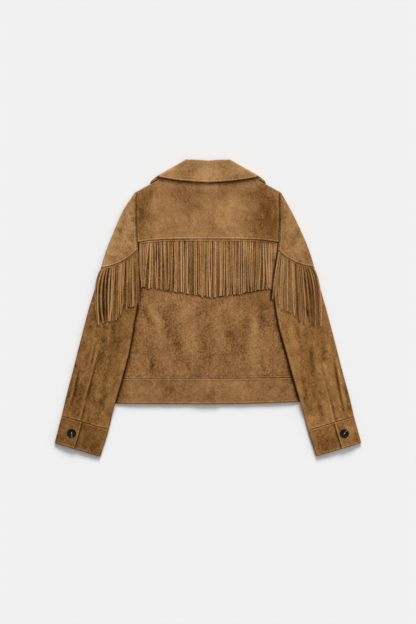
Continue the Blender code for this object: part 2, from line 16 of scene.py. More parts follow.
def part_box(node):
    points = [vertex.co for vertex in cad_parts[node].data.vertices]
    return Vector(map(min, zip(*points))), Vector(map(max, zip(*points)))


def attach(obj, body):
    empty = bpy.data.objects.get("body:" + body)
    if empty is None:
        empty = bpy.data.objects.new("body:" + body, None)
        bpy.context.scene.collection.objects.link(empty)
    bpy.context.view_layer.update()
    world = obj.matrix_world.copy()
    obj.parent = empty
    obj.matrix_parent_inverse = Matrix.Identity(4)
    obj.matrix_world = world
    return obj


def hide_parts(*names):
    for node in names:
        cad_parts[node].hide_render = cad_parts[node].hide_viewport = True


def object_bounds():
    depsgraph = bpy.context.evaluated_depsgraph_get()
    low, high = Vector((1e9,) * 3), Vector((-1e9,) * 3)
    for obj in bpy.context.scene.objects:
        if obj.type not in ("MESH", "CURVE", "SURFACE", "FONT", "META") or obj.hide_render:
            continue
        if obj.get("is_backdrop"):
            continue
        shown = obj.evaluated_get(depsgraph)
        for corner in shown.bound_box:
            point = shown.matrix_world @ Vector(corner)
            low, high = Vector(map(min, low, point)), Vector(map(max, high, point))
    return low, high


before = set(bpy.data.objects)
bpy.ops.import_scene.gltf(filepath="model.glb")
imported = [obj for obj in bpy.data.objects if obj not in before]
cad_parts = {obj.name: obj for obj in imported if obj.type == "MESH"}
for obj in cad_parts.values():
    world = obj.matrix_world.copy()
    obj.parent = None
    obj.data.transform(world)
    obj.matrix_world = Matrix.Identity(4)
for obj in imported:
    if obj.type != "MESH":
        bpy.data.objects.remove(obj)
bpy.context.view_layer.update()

# ---- The fronts ------------------------------------------------------------------------------------------
# Two plain suede fronts, cut in one from shoulder to waist, lapped and buttoned down the middle. They
# lie on the ground under everything else; only the buttons and the collar's points lift them.
MM = 0.001
SUEDE = 1.2
BAND = 1.8
SEAM = 0.3
SNUG = 0.3
LOOSE = 1.5
HEM_Y = -231.0
WAIST_Y = -169.4
YOKE_Y = 165.5
BACK_NECK_Y = 318.0
FRONT_NECK_Y = 242.0
NECK_HALF = 84.0
NECK_RISE = 9.0
SHOULDER_HALF = 172.6
SHOULDER_Y = 279.0
ARMHOLE_FOOT_Y = 108.0
BACK_LOW = 5.0
EDGE_RAMP = 30.0
CLIMB = 28.0
CLIMB_START = 5.0
BUTTON_THICK = 2.4
COLLAR = 2.0
LAP_HALF = 14.0
LAP_RAMP = 40.0
SIDES = {"left": -1, "right": 1}
LEVEL = 6.0                # cloth this high or higher takes a fold's whole rise

# Body outline, one half: height along the body, half width.
BODY_EDGE = [(-240.0, 230.0), (-100.0, 231.0), (12.0, 230.0), (30.0, 196.0), (62.0, 173.0),
             (ARMHOLE_FOOT_Y, 164.4), (163.0, 170.4), (226.0, SHOULDER_HALF), (285.0, SHOULDER_HALF)]

# Creases in the cloth: both ends, half width, depth, and the side that stands up as a ridge.
CREASES = [("x0", "y0", "x1", "y1", "half width", "depth", "ridge"),
           (-267.0, -80.0, -284.0, -150.0, 2.2, 2.6, 1),
           (-304.5, -134.0, -331.0, -242.0, 2.2, 3.0, 1),
           (-314.0, -188.0, -340.0, -262.0, 3.0, 1.2, 1),
           (-286.0, -100.0, -300.0, -160.0, 4.0, 1.0, 1),
           (-252.0, -60.0, -262.0, -150.0, 8.0, 1.0, 1),
           (-236.0, -120.0, -262.0, -262.0, 6.0, 1.1, 1),
           (-205.0, -60.0, -226.0, -150.0, 6.0, 1.1, -1),
           (-222.0, -30.0, -238.0, -96.0, 5.0, 0.9, 1),
           (-250.0, -210.0, -268.0, -292.0, 6.0, 1.1, -1),
           (-284.0, -30.0, -296.0, -84.0, 5.0, 0.9, 1),
           (297.0, -100.0, 331.0, -276.0, 3.0, 2.6, -1),
           (306.0, -96.0, 328.0, -190.0, 4.0, 0.8, 1),
           (272.0, -70.0, 284.0, -150.0, 7.0, 1.0, 1),
           (240.0, -70.0, 262.0, -190.0, 6.0, 1.1, -1),
           (222.0, -140.0, 246.0, -270.0, 6.0, 1.0, 1),
           (200.0, -30.0, 226.0, -120.0, 6.0, 1.0, 1),
           (262.0, -210.0, 276.0, -290.0, 6.0, 1.1, -1),
           (-134.0, -120.0, -138.0, -162.0, 5.0, 1.1, 1),
           (128.0, -110.0, 134.0, -160.0, 5.0, 1.0, -1),
           (-120.0, 10.0, -88.0, -90.0, 12.0, 1.1, 1),
           (-160.0, 20.0, -130.0, -60.0, 9.0, 1.2, -1),
           (-60.0, -20.0, -74.0, -150.0, 13.0, 1.0, -1),
           (-14.0, -60.0, -4.0, -160.0, 10.0, 0.9, 1),
           (40.0, 0.0, 58.0, -110.0, 12.0, 1.0, 1),
           (96.0, -10.0, 82.0, -140.0, 11.0, 1.1, -1),
           (136.0, 10.0, 118.0, -80.0, 9.0, 1.2, 1),
           (-152.0, 236.0, -112.0, 188.0, 16.0, 0.4, 1),
           (154.0, 240.0, 112.0, 186.0, 18.0, 0.4, -1),
           (-70.0, 284.0, -40.0, 200.0, 24.0, 0.4, 1),
           (90.0, 282.0, 60.0, 190.0, 24.0, 0.4, -1),
           (-196.0, 240.0, -220.0, 160.0, 9.0, 0.9, 1),
           (198.0, 236.0, 218.0, 156.0, 9.0, 0.9, -1)]

# Patches of nap brushed darker or lighter, and dark patches of painted shade at the yoke's two ends: centre
# x and y, half width, half height, strength.
PATCHES = [("x", "y", "half width", "half height", "strength"),
           (-158.0, 216.0, 24.0, 54.0, -0.50), (142.0, 222.0, 50.0, 70.0, -0.50),
           (-20.0, 277.0, 120.0, 13.0, -0.26), (52.0, 224.0, 34.0, 48.0, 0.40),
           (-86.0, 205.0, 44.0, 30.0, 0.10), (-60.0, -30.0, 16.0, 50.0, 0.30),
           (-104.0, -70.0, 18.0, 60.0, 0.22), (-30.0, -120.0, 30.0, 40.0, -0.18),
           (30.0, 0.0, 34.0, 26.0, 0.14), (72.0, -70.0, 20.0, 60.0, -0.14),
           (112.0, -110.0, 16.0, 46.0, 0.18), (-140.0, -120.0, 14.0, 50.0, -0.22),
           (142.0, -30.0, 14.0, 50.0, -0.18), (-306.0, -170.0, 14.0, 60.0, 0.16),
           (-262.0, -150.0, 14.0, 60.0, -0.24), (-230.0, -220.0, 16.0, 40.0, 0.14),
           (296.0, -140.0, 16.0, 60.0, 0.18), (256.0, -150.0, 14.0, 60.0, -0.24),
           (330.0, -210.0, 12.0, 50.0, -0.18), (-204.0, 190.0, 16.0, 60.0, 0.12),
           (216.0, 190.0, 16.0, 50.0, 0.14), (-100.0, -198.0, 40.0, 16.0, -0.14),
           (60.0, -196.0, 50.0, 16.0, 0.12), (-326.0, -296.0, 18.0, 18.0, 0.12),
           (-286.0, -320.0, 20.0, 20.0, -0.16), (296.0, -318.0, 20.0, 20.0, -0.14),
           (338.0, -296.0, 20.0, 24.0, 0.26)]


def smooth(t):
    """0 below 0, 1 above 1 and an even S between."""
    t = np.clip(t, 0.0, 1.0)
    return t * t * (3.0 - 2.0 * t)


def mix(a, b, t):
    return a + (b - a) * t


def bell(t):
    """1 at 0, next to nothing beyond 2 either way."""
    return np.exp(-t ** 2)


def read_off(rows, at):
    """Values at places on a smooth curve through (place, value) rows, with no overshoot."""
    places, values = (np.array(line, float) for line in zip(*rows))
    at = np.clip(np.asarray(at, float), places[0], places[-1])
    slopes = np.diff(values) / np.diff(places)
    same_way = slopes[:-1] * slopes[1:] > 0.0
    both = np.where(same_way, slopes[:-1] + slopes[1:], 1.0)
    turns = np.concatenate([slopes[:1], np.where(same_way, 2.0 * slopes[:-1] * slopes[1:] / both, 0.0),
                            slopes[-1:]])
    index = np.clip(np.searchsorted(places, at, side="right") - 1, 0, len(places) - 2)
    width = places[index + 1] - places[index]
    t = (at - places[index]) / width
    return (values[index] * (1 + 2 * t) * (1 - t) ** 2 + turns[index] * width * t * (1 - t) ** 2
            + values[index + 1] * t * t * (3 - 2 * t) + turns[index + 1] * width * t * t * (t - 1))


def column(table, name):
    """(place, value) rows of one named column of a table whose first row is its header."""
    value = table[0].index(name)
    return [(row[0], row[value]) for row in table[1:]]


def body_half(y):
    return read_off(BODY_EDGE, y)


def shoulder_y(x):
    t = (np.abs(x) - NECK_HALF) / (SHOULDER_HALF - NECK_HALF)
    return mix(BACK_NECK_Y + NECK_RISE, SHOULDER_Y, t)


def back_neck_y(x):
    return BACK_NECK_Y + NECK_RISE * (np.abs(x) / NECK_HALF) ** 2


def front_neck_y(x):
    drop = BACK_NECK_Y + NECK_RISE - FRONT_NECK_Y
    return FRONT_NECK_Y + drop * (np.abs(x) / NECK_HALF) ** 1.6


def back_top_y(x):
    return np.where(np.abs(x) < NECK_HALF, back_neck_y(x), shoulder_y(x))


def front_top_y(x):
    return np.where(np.abs(x) < NECK_HALF, front_neck_y(x), shoulder_y(x))


def yoke_y(x):
    return YOKE_Y - 8.0 * (np.abs(x) / 170.0) ** 4


def waist_y(x):
    return WAIST_Y + 2.0 * (np.maximum(x, 0.0) / 200.0) ** 2


def hem_y(x):
    return HEM_Y + 6.0 * (np.maximum(x, 0.0) / 220.0) ** 2 + 1.5 * (np.minimum(x, 0.0) / 220.0) ** 2


def line_of(xs, ys):
    return np.stack(np.broadcast_arrays(np.asarray(xs, float), np.asarray(ys, float)), axis=-1)


def path_of(table, name, at):
    """Plan places on the curve held by a table's columns for this name's x and y."""
    return line_of(*(read_off(column(table, f"{name} {axis}"), at) for axis in "xy"))


def towards(start, end):
    """Unit vectors from one line's points to another's."""
    return (end - start) / np.linalg.norm(end - start, axis=-1, keepdims=True)


def nearest_on(line, x, y):
    """Nearest points of a line of corners to points, and how far they are."""
    here = np.stack(np.broadcast_arrays(x, y), axis=-1).astype(float)
    best_foot, best = None, None
    for a, b in zip(line, line[1:]):
        way = b - a
        share = np.clip(((here - a) @ way) / (way @ way), 0.0, 1.0)
        foot = a + share[..., None] * way
        away = np.linalg.norm(foot - here, axis=-1)
        if best is None:
            best_foot, best = foot, away
        else:
            closer = away < best
            best_foot = np.where(closer[..., None], foot, best_foot)
            best = np.where(closer, away, best)
    return best_foot, best


def away_from(line, x, y):
    return nearest_on(line, x, y)[1]


SIDE_ROWS = np.array([-231, -160, -90, -20, 5, 12, 18, 24, 30, 38, 48, 62, 80, 95, ARMHOLE_FOOT_Y])
SIDE_LINE = line_of(body_half(SIDE_ROWS), SIDE_ROWS)
ARMHOLE_ROWS = np.array([ARMHOLE_FOOT_Y, 135, 163, 195, 226, 255, SHOULDER_Y])
ARMHOLE_LINE = line_of(body_half(ARMHOLE_ROWS), ARMHOLE_ROWS)
SHOULDER_COLUMNS = np.array([SHOULDER_HALF, 160, 148, 136, 124])
SHOULDER_LINE = line_of(SHOULDER_COLUMNS, shoulder_y(SHOULDER_COLUMNS))
HEM_LINE = line_of([0, 230.0], [HEM_Y, HEM_Y])


def body_cloth(x, y):
    return np.where(y < waist_y(x), BAND, SUEDE)


def lap_share(x):
    return 1.0 - smooth((np.abs(x) - LAP_HALF - 2.0) / LAP_RAMP)


def front_low(x, y, side):
    """Underside of a front: flat, raised over the buttons and over the collar's front."""
    lap = BUTTON_THICK + SNUG
    if side < 0:
        lap = lap + body_cloth(x, y) + SNUG
    over_collar = (COLLAR + SNUG) * smooth((y - 165.0) / 30.0) * (1.0 - smooth((np.abs(x) - 141.0) / 28.0))
    return np.maximum(lap * lap_share(x), over_collar)


def back_low(x, y):
    """Underside of the back: level, down to the front at side and shoulder seams, up over the lap."""
    fronts = front_low(x, y, -1) + body_cloth(x, y)
    level = np.maximum(BACK_LOW, mix(BACK_LOW, fronts + SNUG, lap_share(x)))
    inset = np.minimum(away_from(SIDE_LINE, np.abs(x), y), away_from(SHOULDER_LINE, np.abs(x), y))
    return mix(np.minimum(level, fronts + SNUG), level, smooth(inset / EDGE_RAMP))


def back_top(x, y):
    return back_low(x, y) + body_cloth(x, y)


def over_body(x, y):
    """Underside of a sleeve that lies over the body and, further down, over the thicker waistband."""
    over_band = 1.0 - smooth((y - WAIST_Y - 12.0) / 30.0)
    return back_top(x, np.maximum(y, WAIST_Y + 4.0)) + 2.0 * (BAND - SUEDE) * over_band + LOOSE


def ride_height(x, y):
    """Underside of a sleeve: on the ground outside the body, climbing on to it below the armhole."""
    x, y = np.asarray(x, float), np.asarray(y, float)
    riding = 1.0 - smooth((y - ARMHOLE_FOOT_Y - 4.0) / 50.0)
    inside = (np.abs(x) < body_half(y)) & (y > HEM_Y)
    feet = [nearest_on(line, np.abs(x), y) for line in (SIDE_LINE, ARMHOLE_LINE, HEM_LINE)]
    away = np.minimum.reduce([pair[1] for pair in feet])
    foot = np.select([(away == pair[1])[..., None] for pair in feet], [pair[0] for pair in feet])
    edge_height = over_body(np.copysign(foot[..., 0], x), foot[..., 1])
    outside = edge_height * (1.0 - smooth((away - CLIMB_START) / CLIMB))
    return np.where(inside, over_body(x, y), outside) * riding


def ripple(x, y, seed, across, along, parts=8):
    """Gentle uneven waves, about -1 to 1, with these wavelengths across and along the body."""
    rng = np.random.default_rng(seed)
    total = 0.0
    for _ in range(parts):
        angle, pace, start = rng.uniform(0, 2 * math.pi), rng.uniform(0.7, 1.4), rng.uniform(0, 2 * math.pi)
        total = total + np.cos(2 * math.pi * pace * (x * math.cos(angle) / across
                                                     + y * math.sin(angle) / along) + start)
    return total / math.sqrt(parts * 1.6)


def folds(x, y):
    """How far the cloth's top stands above or below its even lie: its creases and its soft waves."""
    x, y = np.asarray(x, float), np.asarray(y, float)
    rise = 0.55 * ripple(x, y, 3, 90.0, 130.0) + 0.32 * ripple(x, y, 5, 34.0, 60.0)
    gathers = np.exp(-np.maximum(y - waist_y(x), 0.0) / 22.0) * (y > waist_y(x))
    rise = rise + 0.45 * gathers * ripple(x, y, 7, 17.0, 60.0)
    for x0, y0, x1, y1, half, depth, ridge in CREASES[1:]:
        way = np.array([x1 - x0, y1 - y0])
        length = np.hypot(*way)
        way = way / length
        along = (x - x0) * way[0] + (y - y0) * way[1]
        wander = 0.35 * half * np.sin(along / length * 5.0 + x0)
        off = (x - x0) * way[1] - (y - y0) * way[0] + wander
        ends = smooth(along / length * 2.6) * smooth((length - along) / length * 2.6)
        rise = rise + 1.5 * ends * depth * (0.75 * bell((off - ridge * 1.7 * half) / (1.5 * half))
                                      - bell(off / half))
    return np.clip(rise, -3.2, 3.2)


def nap_and_painted_shading(x, y):
    """How much lighter or darker the nap is at places: its brushed patches, and painted shade in the folds'
    troughs and painted highlight on their ridges.
    """
    x, y = np.asarray(x, float), np.asarray(y, float)
    # Painted shade and highlight that follow the folds.
    shade = 0.18 * folds(x, y)
    for middle_x, middle_y, half, tall, strength in PATCHES[1:]:
        shade = shade + strength * np.exp(-((x - middle_x) / half) ** 2 - ((y - middle_y) / tall) ** 2)
    return shade


def settled(points):
    """Points moved by the folds. The whole rise from LEVEL up, less below, none on the ground."""
    points = points.copy()
    x, y, z = points[..., 0], points[..., 1], points[..., 2]
    points[..., 2] = z + folds(x, y) * np.clip(z / LEVEL, 0.0, 1.0)
    return points


def beside_seam(away, ridge=0.55, groove=0.8, ridge_at=2.9, wide=1.7):
    """Rise of cloth beside a seam: drawn down into the groove, then puffed over the turned-in edge."""
    return ridge * bell((away - ridge_at) / wide) - groove * bell(away / 0.9)


def stitch_groove(away, at=5.0):
    """Row of stitches that draws the cloth down, at a distance from the seam."""
    return -0.32 * bell((away - at) / 0.9)


def pucker(x, y, seed, away, reach=7.0, amount=0.28, wave=9.0):
    """Small pulls in the cloth beside a row of stitches."""
    return amount * ripple(x, y, seed, wave, wave) * np.exp(-np.abs(away - 2.5) / reach)


def edged(length, step):
    """Shares from 0 to 1 along a piece, close together at its two ends, where its seams lie."""
    near = np.array([0, 0.45, 0.95, 1.5, 2.15, 2.9, 3.7, 4.8, 6.4, 9.0])
    clear = near[-1]
    count = max(int((length - 2.0 * clear) / step), 2)
    between = np.linspace(clear, length - clear, count + 1)[1:-1]
    return np.concatenate([near, between, length - near[::-1]]) / length


def put_in(name, data):
    """New object with this data, in the scene."""
    piece = bpy.data.objects.new(name, data)
    bpy.context.scene.collection.objects.link(piece)
    return piece


def cloth(name):
    """Piece of cloth that is already there."""
    return bpy.data.objects[f"{name}_cloth"]


def cloth_mesh(name, outer, inner, tone, inner_tone=0.42):
    """One closed piece of cloth between an outer and an inner grid of points, with its tone attribute."""
    rows, cols = outer.shape[:2]
    count = rows * cols
    index = np.arange(count).reshape(rows, cols)
    quads = np.stack([index[:-1, :-1], index[:-1, 1:], index[1:, 1:], index[1:, :-1]], -1).reshape(-1, 4)
    rim = np.concatenate([index[0, :], index[1:, -1], index[-1, -2::-1], index[-2:0:-1, 0]])
    after = np.roll(rim, -1)
    edge = np.stack([after, rim, rim + count, after + count], -1)
    faces = np.concatenate([quads, quads[:, ::-1] + count, edge])
    points = np.concatenate([outer.reshape(-1, 3), inner.reshape(-1, 3)]) * MM
    a, b, c, d = (points[faces[:, i]] for i in range(4))
    volume = (np.einsum("ij,ij->i", a, np.cross(b, c)) + np.einsum("ij,ij->i", a, np.cross(c, d))).sum()
    if volume < 0.0:
        faces = faces[:, ::-1]
    mesh = bpy.data.meshes.new(name)
    mesh.from_pydata(points.tolist(), [], faces.tolist())
    mesh.shade_smooth()
    mesh.set_sharp_from_angle(angle=math.radians(60.0))
    # Its top's tone takes the brushed patches and the painted shading of the folds.
    nap = nap_and_painted_shading(outer[..., 0], outer[..., 1])
    values = np.concatenate([(tone + nap).reshape(-1), (inner_tone - 0.6 * nap).reshape(-1)])
    mesh.attributes.new("tone", "FLOAT", "POINT").data.foreach_set("value", values.astype(np.float32))
    return put_in(name, mesh)


def tone_of(rise):
    """Tone of the nap from the cloth's rise: 0.5 is even; raised cloth is lighter and sunk cloth darker,
    partly the nap's wear and partly painted highlight and painted shade.
    """
    return 0.5 + 0.42 * rise


def lying_cloth(name, x, y, underside, thick, rise, inner_tone=0.42):
    """Panel that lies: its plan at its underside's height, its top raised by the relief beside seams."""
    low = underside(x, y)
    inner = settled(np.stack([x, y, low], -1))
    outer = settled(np.stack([x, y, low + thick], -1))
    outer[..., 2] += rise
    inner[..., 2] += np.clip(rise, 0.0, 0.3)
    return cloth_mesh(name, outer, inner, tone_of(rise), inner_tone)


def new_nodes(tree, *kinds):
    return [tree.nodes.new(kind) for kind in kinds]


def set_inputs(node, **values):
    """Sets a node's inputs; an underscore in a key stands for a space in the input's name."""
    for key, value in values.items():
        node.inputs[key.replace("_", " ")].default_value = value


def join_up(tree, *rows):
    """Links nodes: each row is a node, its output, the node it leads to and that node's input."""
    for first, output, second, entry in rows:
        tree.links.new(first.outputs[output], second.inputs[entry])


def with_sockets(tree, inputs, outputs):
    """Gives a node group its inputs, with their values, and its outputs. Returns its two end nodes."""
    for name, kind, *value in inputs:
        socket = tree.interface.new_socket(name, in_out="INPUT", socket_type=f"NodeSocket{kind}")
        if value:
            socket.default_value = value[0]
    for name, kind in outputs:
        tree.interface.new_socket(name, in_out="OUTPUT", socket_type=f"NodeSocket{kind}")
    return new_nodes(tree, "NodeGroupInput", "NodeGroupOutput")


def new_material(name):
    """Material, its node tree and its shader."""
    material = bpy.data.materials.new(name)
    material.use_nodes = True
    return material, material.node_tree, material.node_tree.nodes["Principled BSDF"]


def suede_nap():
    """Group for napped suede: blotches where the nap is brushed either way, swirls and a fibrous grain."""
    group = bpy.data.node_groups.new("suede_nap", "ShaderNodeTree")
    given, out = with_sockets(group, [("Dark nap", "Color"), ("Light nap", "Color"), ("Turn", "Vector"),
                                      ("Blotch", "Float", 1.0), ("Fine", "Float", 1.0)],
                              [("Colour", "Color"), ("Roughness", "Float"), ("Normal", "Vector")])
    where, turned, tone, bump = new_nodes(group, "ShaderNodeTexCoord", "ShaderNodeMapping",
                                          "ShaderNodeAttribute", "ShaderNodeBump")
    share, lit, shade, dimmed = new_nodes(group, "ShaderNodeClamp", "ShaderNodeClamp", "ShaderNodeMix",
                                          "ShaderNodeVectorMath")
    join_up(group, (where, "Object", turned, "Vector"), (given, "Turn", turned, "Rotation"))

    def noise(scale, detail, rough, distortion, along):
        drawn, texture = new_nodes(group, "ShaderNodeMapping", "ShaderNodeTexNoise")
        set_inputs(drawn, Scale=(1.0, along, 1.0))
        set_inputs(texture, Scale=scale, Detail=detail, Roughness=rough, Distortion=distortion)
        join_up(group, (turned, "Vector", drawn, "Vector"), (drawn, "Vector", texture, "Vector"))
        return texture.outputs["Fac"]

    def maths(operation, a, b):
        node = group.nodes.new("ShaderNodeMath")
        node.operation = operation
        for socket, value in zip(node.inputs, (a, b)):
            if isinstance(value, float):
                socket.default_value = value
            else:
                group.links.new(value, socket)
        return node.outputs[0]

    def plus(a, b):
        return maths("ADD", a, b)

    def times(a, b):
        return maths("MULTIPLY", a, b)

    def centred(value, amount):
        return times(plus(value, -0.5), amount)

    blotches = noise(19.0, 3.0, 0.6, 0.9, 0.6)
    patches = noise(60.0, 4.0, 0.62, 0.8, 0.6)
    swirls = noise(150.0, 4.0, 0.62, 1.6, 0.7)
    tufts = noise(330.0, 3.0, 0.6, 0.8, 0.7)
    grain = noise(820.0, 3.0, 0.65, 0.3, 0.55)
    tone.attribute_name = "tone"
    coarse = plus(centred(blotches, 0.95), centred(patches, 1.25))
    fine = plus(plus(centred(swirls, 1.1), centred(tufts, 1.2)), centred(grain, 0.7))
    nap = plus(times(coarse, given.outputs["Blotch"]), times(fine, given.outputs["Fine"]))
    whole = plus(plus(nap, plus(tone.outputs["Fac"], -0.5)), 0.5)
    height = plus(plus(centred(swirls, 0.6), centred(tufts, 0.6)), centred(grain, 0.6))
    rough = plus(centred(swirls, -0.14), 0.93)
    # The tone attribute carries painted shade and highlight as well as the nap's patches. Below a tone of 0
    # the colour is scaled darker still, down to 0.3 of it, for the darkest painted shadows.
    set_inputs(share, Max=1.3)
    set_inputs(lit, Min=0.3)
    set_inputs(bump, Strength=0.7, Distance=0.0009)
    shade.data_type, shade.clamp_factor, dimmed.operation = "RGBA", False, "SCALE"
    for value, node, entry in ((whole, share, "Value"), (plus(times(whole, 1.6), 1.0), lit, "Value"),
                               (height, bump, "Height"), (rough, out, "Roughness")):
        group.links.new(value, node.inputs[entry])
    join_up(group, (share, "Result", shade, "Factor"), (given, "Dark nap", shade, "A"),
            (given, "Light nap", shade, "B"), (shade, "Result", dimmed, 0),
            (lit, "Result", dimmed, "Scale"), (dimmed, "Vector", out, "Colour"),
            (bump, "Normal", out, "Normal"))
    return group


SUEDE_NAP = suede_nap()
DARK_NAP = (0.50, 0.39, 0.21)          # nap brushed away and towards, as shares of the mean colour
LIGHT_NAP = (1.50, 1.61, 1.80)


def suede(name, colour, turn=0.0, blotch=1.0, fine=1.0):
    """Suede for a piece: its mean colour, the way its nap runs and how strongly it is blotched. The mean
    colours differ from piece to piece partly with the nap's run and partly as painted light, lighter
    towards the collar and darker towards the cuffs.
    """
    material, tree, shader = new_material(name)
    nap = tree.nodes.new("ShaderNodeGroup")
    nap.node_tree = SUEDE_NAP
    dark, light = ((*(c * k for c, k in zip(colour, shares)), 1.0) for shares in (DARK_NAP, LIGHT_NAP))
    set_inputs(nap, Dark_nap=dark, Light_nap=light, Turn=(0.0, 0.0, turn), Blotch=blotch, Fine=fine)
    set_inputs(shader, Specular_IOR_Level=0.08, Sheen_Weight=0.08, Sheen_Roughness=0.55,
               Sheen_Tint=(0.95, 0.72, 0.48, 1.0))
    join_up(tree, (nap, "Colour", shader, "Base Color"), (nap, "Roughness", shader, "Roughness"),
            (nap, "Normal", shader, "Normal"))
    return material


def darken(piece, shade):
    """Paints shade on top of a piece: lowers its tone by shade, which is worked out from its points' x and
    y.
    """
    tone, count = piece.data.attributes["tone"].data, len(piece.data.vertices)
    places, facing, values = (np.empty(size, np.float32) for size in (count * 3, count * 3, count))
    piece.data.vertices.foreach_get("co", places)
    piece.data.vertices.foreach_get("normal", facing)
    tone.foreach_get("value", values)
    places = places.reshape(-1, 3) / MM
    on_top = facing[2::3] > 0.0
    tone.foreach_set("value", (values - on_top * shade(places[:, 0], places[:, 1])).astype(np.float32))


def darken_along(pieces, line, *bands, both_sides=False):
    """Paints shade on top of pieces beside a line, each band by its strength and its width."""
    for piece in pieces:
        for strength, width in bands:
            darken(piece, lambda x, y: strength * bell(
                away_from(line, np.abs(x) if both_sides else x, y) / width))


def sew_in(piece, material, node=None):
    """Gives a piece its material and its place on the jacket, and hides its CAD solid."""
    piece.data.materials.clear()
    piece.data.materials.append(material)
    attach(piece, "root")
    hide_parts(node or piece.name.removesuffix("_cloth"))


FRONT_SUEDE = suede("front_suede", (0.27, 0.13, 0.047), turn=0.5)
for side, sign in SIDES.items():
    length = edged(490.0, 6.0)
    breadth = edged(245.0, 5.0)
    u, v = np.meshgrid(breadth, length)
    width = mix(-LAP_HALF, SHOULDER_HALF, u)
    bottom = waist_y(width * sign) + SEAM / 2
    top = front_top_y(np.maximum(width, 0.0))
    y = mix(bottom, top, v)
    half = body_half(y) - SEAM * (y >= ARMHOLE_FOOT_Y)
    x = width * mix(1.0, half / SHOULDER_HALF, smooth((width - 58.0) / (SHOULDER_HALF - 58.0)))
    opening = width + LAP_HALF
    edges = np.minimum(y - bottom, opening)
    rise = -0.5 * bell(edges / 0.8)
    # Its underside's tone follows this relief: lighter on the ridges, darker in the grooves, partly wear
    # and partly painted highlight and shade.
    edge_tone = beside_seam(edges, ridge=0.6) + stitch_groove(opening) + stitch_groove(opening, 29.0)
    front = lying_cloth(f"front_{side}_cloth", x * sign, y, lambda x, y: front_low(x, y, sign), SUEDE, rise,
                        inner_tone=tone_of(edge_tone))
    sew_in(front, FRONT_SUEDE)

# ---- The back: centre and two side backs -----------------------------------------------------------------
# Suede panels from waistband to yoke, joined by two nearly upright seams; the side backs turn under the
# sleeves at the side seams. Pressed open and flat, with slight puckers.
PANEL_SEAM = [("y", "left", "right"),
              (-175.0, 137.0, 155.0), (-98.0, 146.0, 156.0), (0.0, 155.0, 160.0),
              (60.0, 160.0, 162.5), (ARMHOLE_FOOT_Y, 164.4, 164.4)]


CENTRE_HALF = 137.0        # half width of the centre back at its foot
PANEL_WIDENS = 58.0        # half width beyond which a panel follows its side seam
WAIST_STITCH = 5.2


def panel_seam(y, side):
    """Half width of the seam between the centre back and a side back, or of the armhole above it."""
    return np.where(y > ARMHOLE_FOOT_Y, body_half(y), read_off(column(PANEL_SEAM, side), y))


BACK_SUEDE = suede("back_suede", (0.268, 0.128, 0.044), turn=0.1, blotch=0.6, fine=1.5)
u, v = np.meshgrid(edged(320.0, 2.8), edged(334.0, 2.8))
y = mix(WAIST_Y, YOKE_Y - 8.0, v)
width = mix(-CENTRE_HALF, CENTRE_HALF, u)
seam = np.where(width < 0, panel_seam(y, "left"), panel_seam(y, "right")) - 0.06
outward = smooth((np.abs(width) - PANEL_WIDENS) / (CENTRE_HALF - PANEL_WIDENS))
x = width * mix(1.0, seam / CENTRE_HALF, outward)
y = mix(waist_y(x) + SEAM / 2, yoke_y(x) - SEAM / 2, v)
to_side = (CENTRE_HALF - np.abs(width)) * seam / CENTRE_HALF
to_waist = y - waist_y(x)
rise = (beside_seam(to_side, ridge=0.15, groove=0.35, ridge_at=2.4) + beside_seam(to_waist, ridge=0.7)
        + stitch_groove(to_waist, WAIST_STITCH) + pucker(x, y, 11, to_side, amount=0.18)
        + pucker(x, y, 12, to_waist, reach=10.0))
back_centre = lying_cloth("back_centre_cloth", x, y, back_low, SUEDE, rise)
sew_in(back_centre, BACK_SUEDE)

for side, sign in SIDES.items():
    u, v = np.meshgrid(edged(92.0, 3.0), edged(268.0, 3.0))
    y = mix(WAIST_Y, 100.0, v)
    seam = panel_seam(y, side) + 0.06
    x = mix(seam, body_half(y), u) * sign
    y = y + (waist_y(x) - WAIST_Y + SEAM / 2) * (1.0 - smooth((y - WAIST_Y) / 50.0))
    to_seam, to_waist = np.abs(x) - seam, y - waist_y(x)
    rise = (beside_seam(to_seam, ridge=0.3, groove=0.35, ridge_at=2.4) + beside_seam(to_waist, ridge=0.7)
            + stitch_groove(to_waist, WAIST_STITCH) + pucker(x, y, 13, to_seam, amount=0.18)
            + pucker(x, y, 12, to_waist, reach=10.0))
    side_back = lying_cloth(f"back_side_{side}_cloth", x, y, back_low, SUEDE, rise)
    sew_in(side_back, BACK_SUEDE)

# ---- The waistband ---------------------------------------------------------------------------------------
# A straight doubled band of the same suede right round the hem, topstitched along both edges. Its back
# is one piece; its fronts lap and button with the fronts.
BAND_SUEDE = suede("band_suede", (0.27, 0.13, 0.045), turn=1.2, blotch=0.8, fine=1.0)


def band_relief(x, y, seed):
    to_waist, to_hem = waist_y(x) - y, y - hem_y(x)
    return (beside_seam(to_waist, ridge=0.7) + beside_seam(to_hem, ridge=0.55, groove=0.9, ridge_at=3.2)
            + stitch_groove(to_hem, 7.0) + stitch_groove(to_waist, 4.4)
            + pucker(x, y, seed, to_waist, reach=8.0) + pucker(x, y, seed + 1, to_hem, reach=8.0))


